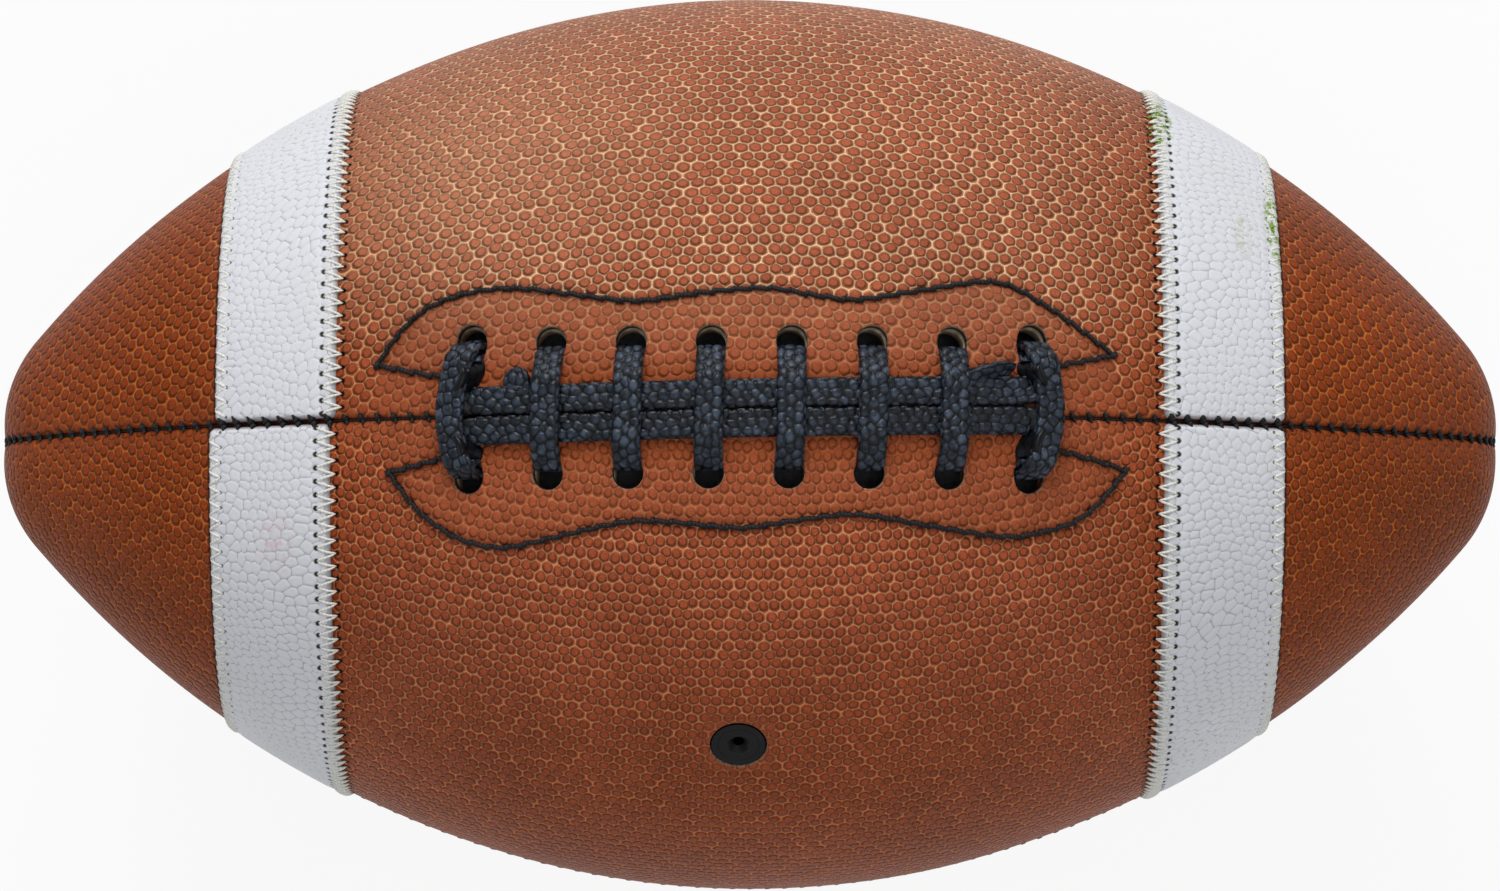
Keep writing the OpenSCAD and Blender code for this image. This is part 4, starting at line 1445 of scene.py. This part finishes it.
@dataclass(frozen=True)
class Lace:
    """The lace: one unbroken strip that lies twice along the seam and crosses it through sixteen holes.

    Its route is a row of knots: x along the ball, s round it, h above the leather and the turn of its width
    from the lengthwise way.
    """

    sizes: Lacing = Lacing()
    hole_bend: float = 1.8 * MM
    under_bend: float = 1.45 * MM
    bow: float = 2.5 * MM
    near_level: float = -5.55 * MM
    cell_pitch: float = 1.85 * MM
    cell_jitter: float = 0.26
    ring_step: float = 0.28 * MM
    hidden_depth: float = 2.2 * MM
    rail_reach: float = 8.6 * MM
    rail_fade: float = 5.8 * MM
    rail_shift: float = 0.3 * MM
    rail_slope: float = 0.02
    rail_end: tuple = (
        (0.4, 8.5, 1.0, 0, -20, 0.7),
        (0.9, 7.3, 1.7, 0, -58, 1.0),
        (0.4, 5.9, 1.7, 12, -62, 1.0),
        (-0.7, 4.5, 1.3, 45, -40, 1.0),
        (0.0, 3.2, 0.95, 78, -12, 0.5),
        (2.2, 2.8, 0.85, 90, 0, 0.0),
    )
    blunt_end: tuple = ((-41.4, 4.0, 0.4, 0, 0, 0), (-41.6, 6.0, 0.8, 0, 0, 0), (-41.9, 8.2, 0.75, 0, 0, 0))
    cut_end: tuple = ((37.5, 3.6, 0.6, 115, 35, 0), (42.0, 6.0, 1.4, 115, 45, 0), (47.0, 8.4, 1.5, 115, 50, 0))

    def levels(self) -> tuple[float, float, float, float]:
        """Heights of the rails and the crosses, the far level underneath, and the step of two strands."""
        step = self.sizes.thickness + self.sizes.gap
        rail = self.sizes.lie + self.sizes.thickness / 2
        return rail, rail + step, self.near_level - step, step

    @staticmethod
    def bend(s: float, h: float, radius: float, start: float, end: float, steps: int) -> list[tuple[float, float]]:
        """Points of an arc about (s, h) from one angle to another, in degrees."""
        turns = np.radians(np.linspace(start, end, steps + 1))
        return [(s + radius * math.cos(a), h + radius * math.sin(a)) for a in turns]

    def halves(self) -> dict[str, list[tuple[float, float]]]:
        """Half routes of a single cross, of an end cross and of the rail's end, from the top to underneath."""
        z, (rail, over, far, step) = self.sizes, self.levels()
        hb, ub = self.hole_bend, self.under_bend
        side = (z.width + z.gap) / 2
        single = z.hole_start + z.thickness
        inner = z.hole_start - z.end_extra + z.thickness
        outer = inner + step
        return {
            "single": [(side, over), (side + z.width / 2 + z.gap, over)]
            + self.bend(single - hb, rail - hb, hb, 65, 0, 3)
            + self.bend(single - ub, self.near_level + ub, ub, 0, -90, 3),
            "outer": [(side, over)]
            + self.bend(inner - hb, rail - hb, hb + step, 90, 0, 4)
            + self.bend(outer - ub, far + ub, ub, 0, -90, 3),
            "inner": self.bend(inner - hb, rail - hb, hb, 90, 0, 3)
            + self.bend(inner - ub, self.near_level + ub, ub, 0, -90, 3),
        }

    def cross(self, k: int, half: list[tuple[float, float]]) -> list[tuple[float, float, float, float]]:
        """Route of a cross lace from the rear hole to the front one; the two end ones bow outward."""
        last = self.sizes.crosses - 1
        outer = self.sizes.hole_start - self.sizes.end_extra + 2 * self.sizes.thickness + self.sizes.gap
        bow = self.bow * (-1 if k == 0 else 1 if k == last else 0)
        points = half[::-1] + [(0.0, self.levels()[1])] + [(-s, h) for s, h in half]
        x = self.sizes.cross_x(k)
        bows = [bow * max(0.0, 1 - (s / outer) ** 2) if h > 0 else 0.0 for s, h in points]
        return [(x + out, s, h, 2 * math.pi) for out, (s, h) in zip(bows, points)]

    def turn(self, x: float, way: int, side: int, into: bool, start: float) -> list[tuple]:
        """The end of a rail: it stands up on edge, passes behind the end lace and lies down again in its hole."""
        route = []
        for inward, s, h, turned_by, tilt, plain in self.rail_end if into else self.rail_end[::-1]:
            turn = start + math.radians(turned_by if into else 90 - turned_by)
            route.append((x - way * inward * MM, side * s * MM, h * MM, turn, math.radians(tilt), plain))
        return route

    def run(self, a: tuple, b: tuple, change: float, swerve: float, turn: float) -> list[tuple]:
        """Run under the leather between two places (x, s, h), rising where the share of its way passes change."""
        route = []
        for share in (0.2, 0.35, 0.5, 0.65, 0.8):
            rise = min(1.0, max(0.0, (share - change) / 0.3))
            route.append(
                (
                    a[0] + (b[0] - a[0]) * share + swerve * math.sin(math.pi * share),
                    a[1] + (b[1] - a[1]) * share,
                    a[2] + (b[2] - a[2]) * rise,
                    turn,
                )
            )
        return route

    def route(self) -> Array:
        """All knots of the lace, from its start in the rear left hole to its end in the front right hole."""
        z, half = self.sizes, self.halves()
        rail, _, far, _ = self.levels()
        near, last, pi = self.near_level, z.crosses - 1, math.pi
        x = [z.cross_x(k) for k in range(z.crosses)]
        side = (z.width + z.gap) / 2
        inner_end = z.hole_start - z.end_extra + z.thickness - self.under_bend
        outer_end = inner_end + z.thickness + z.gap
        single_end = z.hole_start + z.thickness - self.under_bend

        def carried(k: int, way: int, turn: float) -> list[tuple]:
            """Knots of a rail's end on its way down through hole k."""
            return [(x[k], way * s, h, turn) for s, h in half["inner"]]

        def rails(way: int, stations: list[float], turn: float) -> list[tuple]:
            """Knots of a rail at its stations along the ball."""
            return [(at, way * side, rail, turn) for at in stations]

        steps = np.linspace(x[0] + 5 * MM, x[last] - 5 * MM, 28).tolist()
        route = [p for p in carried(0, 1, 0.0)[::-1] if p[2] > near + self.under_bend / 2]
        route += self.turn(x[0], -1, 1, True, 0.0) + rails(1, steps, pi / 2)
        route += self.turn(x[last], 1, 1, False, pi / 2) + carried(last, 1, pi)
        route += self.run((x[last], inner_end, near), (x[last], -inner_end, near), 0, 0, pi)
        route += carried(last, -1, pi)[::-1]
        route += self.turn(x[last], 1, -1, True, pi) + rails(-1, steps[::-1], 1.5 * pi)
        route += self.turn(x[0], -1, -1, False, 1.5 * pi) + carried(0, -1, 2 * pi)
        route += self.run((x[0], -inner_end, near), (x[0], outer_end, far), 0.35, -2 * MM, 2 * pi)
        route += self.cross(0, half["outer"])
        route += self.run((x[0], -outer_end, far), (x[1], single_end, near), 0.5, 0, 2 * pi)
        for k in range(1, last):
            route += self.cross(k, half["single"])
            end = (x[k + 1], single_end, near) if k < last - 1 else (x[last], outer_end, far)
            route += self.run((x[k], -single_end, near), end, 0.0 if k < last - 1 else 0.2, 0, 2 * pi)
        route += [p for p in self.cross(last, half["outer"]) if p[1] > 0 or p[2] > far + self.under_bend / 2]
        knots = np.array([(*p, 0.0, 0.0)[:6] for p in route])
        apart = np.linalg.norm(np.diff(knots[:, :3], axis=0), axis=1) > 0.05 * MM
        return knots[np.concatenate([[True], apart])]

    def section(self, count: int) -> tuple[Array, Array, Array]:
        """The strip's section, an oval of nearly the fifth power, at even steps round it.

        Args:
            count: Number of points.

        Returns:
            Places across and up, outward ways, and lengths round the section.
        """
        turn = np.linspace(0, 2 * math.pi, 4001)
        power = 0.42
        half_a, half_b = self.sizes.width / 2, self.sizes.thickness / 2
        a = half_a * np.sign(np.cos(turn)) * np.abs(np.cos(turn)) ** power
        b = half_b * np.sign(np.sin(turn)) * np.abs(np.sin(turn)) ** power
        run = np.concatenate([[0], np.cumsum(np.hypot(np.diff(a), np.diff(b)))])
        even = np.linspace(0, run[-1], count, endpoint=False)
        a, b = np.interp(even, run, a), np.interp(even, run, b)
        steep = 2 / power - 1
        out = np.stack([np.sign(a) * np.abs(a / half_a) ** steep / half_a,
                        np.sign(b) * np.abs(b / half_b) ** steep / half_b], axis=1)
        return np.stack([a, b], axis=1), unit(out), even

    def strip(self, parts: MeshParts, rows: Array, seed: int, tip: float = 0.0) -> None:
        """Carries the strip's section along a path and raises its moulded cells.

        Cells stand 0.3 mm above the creases round them, with tops domed by 0.14 mm more, and less on the
        narrow sides.

        Args:
            parts: Where it goes.
            rows: Place, width way and plainness of each ring.
            seed: Seed of its cells.
            tip: Length over which the far end narrows.
        """
        path, wide, plain = rows[:, :3], unit(rows[:, 3:6]), np.clip(rows[:, 6], 0, 1)
        along = unit(np.gradient(path, axis=0))
        up = unit(np.cross(along, wide))
        wide = unit(np.cross(up, along))
        rim, out, v = self.section(46)
        run = run_along(path)
        u, w = np.meshgrid(run, v, indexing="ij")
        first, gap, value = pebble_cells(u / 1.12, w, self.cell_pitch, self.cell_jitter, seed)
        cell = smoothstep(0.04, 0.26, gap)
        dome = 1 - np.clip(first / 0.6, 0, 1) ** 2
        shrink = np.ones(len(run))
        if tip > 0:
            left = np.clip((run[-1] - run) / tip, 0, 1)
            shrink = np.sqrt(np.clip(1 - (1 - left) ** 2, 0.02, 1))
        lift = (0.3 * (cell - 0.85) + 0.14 * dome) * MM * (0.45 + 0.55 * np.abs(out[None, :, 1]))
        lift = lift * (1 - 0.85 * plain[:, None])
        off = rim[None] * shrink[:, None, None] + out[None] * lift[..., None] * shrink[:, None, None]
        rings = path[:, None] + off[..., :1] * wide[:, None] + off[..., 1:] * up[:, None]
        flat_rail = np.abs(wide[:, 1:2]) > 0.9
        middle = bell(FORM.round_distance(rings), 2.2 * MM) * flat_rail
        numbers = parts.add_points(
            rings,
            np.stack([u, w], axis=-1) / MM,
            cell=cell,
            # glint: where the painted highlight goes, on the cell tops.
            glint=(0.35 + 0.65 * dome) * cell * (0.2 + 0.6 * value) * (1 - plain[:, None]),
            dim=np.maximum(middle, plain[:, None]),
        )
        parts.add_quads(numbers, around=True, flip=True)
        parts.faces.extend([numbers[0, ::-1].tolist(), numbers[-1].tolist()])

    def rows(self, knots: Array, step: float) -> Array:
        """Place, width way and plainness at even steps on a smooth curve through knots.

        The lacing leans a little, its rails slope against the seam and its front half is narrower.

        Args:
            knots: x, s, h, turn of the width, its tilt out of the leather, and plainness.
            step: Distance between rows.

        Returns:
            One row a ring of the strip.
        """
        x, s, h, turn, tilt, plain = knots.T
        on_rail = np.clip((self.rail_reach - np.abs(s)) / self.rail_fade, 0, 1) * (h > 0) * (h < 2 * MM)
        s = np.where(s < 0, self.sizes.front_share * s, s) + self.sizes.lift
        s = s + on_rail * (self.rail_shift + self.rail_slope * x)
        x = x + self.sizes.lean * s
        outward, lengthwise, crosswise = FORM.ways(x, s)
        turn, tilt = turn[:, None], tilt[:, None]
        wide = np.cos(tilt) * (np.cos(turn) * lengthwise + np.sin(turn) * crosswise) + np.sin(tilt) * outward
        rows = smooth_path(np.hstack([FORM.place(x, s, h), wide * MM, plain[:, None] * MM]), step)
        rows[:, 6] /= MM
        return rows

    def build(self, material: Material) -> None:
        """Makes the lace from its route, with coarser rings underneath, and its two tucked ends."""
        rows = self.rows(self.route(), self.ring_step)
        height = np.linalg.norm(rows[:, 1:3], axis=1) - FORM.radius(rows[:, 0], np.arctan2(rows[:, 1], rows[:, 2]))
        hidden = height < -self.hidden_depth
        parts = MeshParts()
        self.strip(parts, rows[~hidden | (np.arange(len(rows)) % 4 == 0)], 11)
        for knots, tip in ((self.blunt_end, 3 * MM), (self.cut_end, 8 * MM)):
            knots = np.array(knots, float) * (MM, MM, MM, math.pi / 180, math.pi / 180, 1)
            self.strip(parts, self.rows(knots, self.ring_step), 13, tip)
        parts.build("moulded_lace", material, "lace_rubber", ("lace",))


@dataclass(frozen=True)
class Studio:
    """Plain pale floor, soft lights and the camera at the photograph's angle."""

    elevation: float = math.radians(86.1)
    distance: float = 1.3
    lens: float = 163.85
    sensor: float = 36.0
    key: tuple = ((-0.15, 1.15, 1.0), 0.8, 14.0)
    fill: tuple = ((0.3, -0.5, 1.5), 1.2, 4.2)
    surround: float = 0.43
    floor_half: float = 4.0
    floor_gap: float = 1.0 * MM
    floor_glow: float = 0.9

    def camera(self) -> None:
        """Camera above the ball, a little towards its front side, with the ball filling the picture."""
        data = bpy.data.cameras.new("camera")
        data.lens, data.sensor_width = self.lens, self.sensor
        data.clip_start, data.clip_end = 0.05, 20.0
        camera = linked("camera", data)
        camera.location = (0, -self.distance * math.cos(self.elevation), self.distance * math.sin(self.elevation))
        camera.rotation_euler = (math.pi / 2 - self.elevation, 0, 0)
        bpy.context.scene.camera = camera

    def light(self, name: str, place: tuple, size: float, power: float) -> None:
        """Square soft light at a place, aimed at the ball.

        Args:
            name: Its name.
            place: Its place, in metres.
            size: Its side, in metres.
            power: Its power, in watts.
        """
        data = bpy.data.lights.new(name, "AREA")
        data.size, data.energy = size, power
        lamp = linked(name, data)
        lamp.location = place
        lamp.rotation_euler = (-Vector(place)).to_track_quat("-Z", "Y").to_euler()

    def floor(self) -> None:
        """Wide floor under the ball; a camera ray sees it nearly white, with the ball's soft shadow."""
        low = FORM.radius(np.array(0.0), np.array(math.pi / 4))
        mesh = bpy.data.meshes.new("floor")
        half, z = self.floor_half, -float(low) - self.floor_gap
        corners = [(-half, -half, z), (half, -half, z), (half, half, z), (-half, half, z)]
        mesh.from_pydata(corners, [], [(0, 1, 2, 3)])
        s = Shader("pale_floor")
        s.surface.inputs["Base Color"].default_value = (0.84, 0.84, 0.85, 1)
        s.surface.inputs["Roughness"].default_value = 0.9
        rays = s.node("LightPath")
        seen = s.math("MAXIMUM", rays.outputs["Is Camera Ray"], rays.outputs["Is Glossy Ray"])
        seen = s.math("MAXIMUM", seen, rays.outputs["Is Transmission Ray"])
        glow = s.node("Emission", {"Color": (1.0, 1.0, 1.0, 1.0), "Strength": 1.0})
        share = s.times(seen, self.floor_glow)
        both = s.node("MixShader", {0: share, 1: s.surface.outputs[0], 2: glow.outputs[0]})
        s.tree.links.new(both.outputs[0], s.output.inputs["Surface"])
        mesh.materials.append(s.material)
        floor = linked("floor", mesh)

    def world(self) -> None:
        """Even pale light from all round, white where the camera looks straight at it."""
        world = bpy.data.worlds.new("studio")
        world.use_nodes = True
        bpy.context.scene.world = world
        nodes, links = world.node_tree.nodes, world.node_tree.links
        background = nodes["Background"]
        rays = nodes.new("ShaderNodeLightPath")
        level = nodes.new("ShaderNodeMapRange")
        level.inputs["To Min"].default_value = self.surround
        level.inputs["To Max"].default_value = 1.0
        links.new(rays.outputs["Is Camera Ray"], level.inputs["Value"])
        links.new(level.outputs[0], background.inputs["Strength"])
        background.inputs["Color"].default_value = (0.96, 0.98, 1.0, 1)

    def build(self) -> None:
        """Makes camera, lights, floor and world."""
        self.camera()
        self.light("key", *self.key)
        self.light("fill", *self.fill)
        self.floor()
        self.world()
        bpy.context.scene.view_settings.view_transform = "Standard"


def main() -> None:
    """Builds the studio and every piece in order, and dresses the nodes that stay."""
    logging.basicConfig(level=logging.INFO, format="%(message)s")
    Studio().build()
    lacing = Lacing()
    leather = PebbledLeather().material()
    white = WhiteLeather().material()
    black_thread = SpunThread("black_thread", tone(44, 40, 44), tone(8, 7, 8)).material()
    pale_thread = SpunThread("pale_thread", tone(246, 245, 240), tone(226, 224, 214), STAINS).material()
    rubber = MouldedRubber("lace_rubber").material()
    quarter = math.pi / 2
    valve_s = -VALVE_ANGLE * float(FORM.radius(np.array(VALVE_X), np.array(0.0)))
    valve = Hole(VALVE_X, valve_s, VALVE_HOLE, VALVE_HOLE)
    panels = (
        Panel("panel_laced_front", -quarter / 2, (*lacing.holes(Side.FRONT), valve), FRONT_OUTLINE),
        Panel("panel_laced_rear", quarter / 2, tuple(lacing.holes(Side.REAR)), REAR_OUTLINE),
        Panel("panel_base_front", -1.5 * quarter),
        Panel("panel_base_rear", 1.5 * quarter),
    )
    for panel in panels:
        panel.build(leather)
    threads = MeshParts()
    for side in Side:
        for way, hand in ((-1, "left"), (1, "right")):
            shift = SEWING.shift if (side, way) == (Side.FRONT, -1) else 0.0
            start = (SEWING.start + shift) * MM
            stripe = Stripe(f"stripe_{side.name.lower()}_{hand}", side, way, start)
            stripe.build(white)
            stripe.stitches(threads)
    threads.build("stripe_stitches", pale_thread, "thread")
    for name, angle in (("laced", 0.0), ("front", -quarter), ("rear", quarter), ("base", 2 * quarter)):
        open_half = LACED_OPENING if name == "laced" else 0.0
        SeamStitches("seam_thread_" + name, angle, open_half).build(black_thread)
    for outline in (FRONT_OUTLINE, REAR_OUTLINE):
        PatchStitches(outline).build(black_thread)
    Lace(lacing).build(rubber)
    valve_rubber = MouldedRubber("valve_rubber", middle=tone(14, 14, 16), roughness=0.45).material()
    bladder_rubber = MouldedRubber("bladder_rubber", tone(26, 24, 24), tone(52, 50, 50), roughness=0.6).material()
    cloth = WovenCloth("lining_cloth", tone(196, 186, 164), tone(128, 118, 98)).material()
    patch = PlainHide("patch_leather", tone(150, 112, 78), tone(104, 74, 50)).material()
    tongue = PlainHide("tongue_leather", tone(92, 90, 90), tone(52, 50, 50)).material()
    kept = {
        "lining": cloth, "lace_patch": patch, "tongue": tongue, "bladder": bladder_rubber, "valve": valve_rubber,
    }
    for node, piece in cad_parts.items():
        for start, material in kept.items():
            if node.startswith(start):
                piece.data.materials.clear()
                piece.data.materials.append(material)
                LOG.info("%s: dressed", node)


if __name__ == "__main__":
    main()
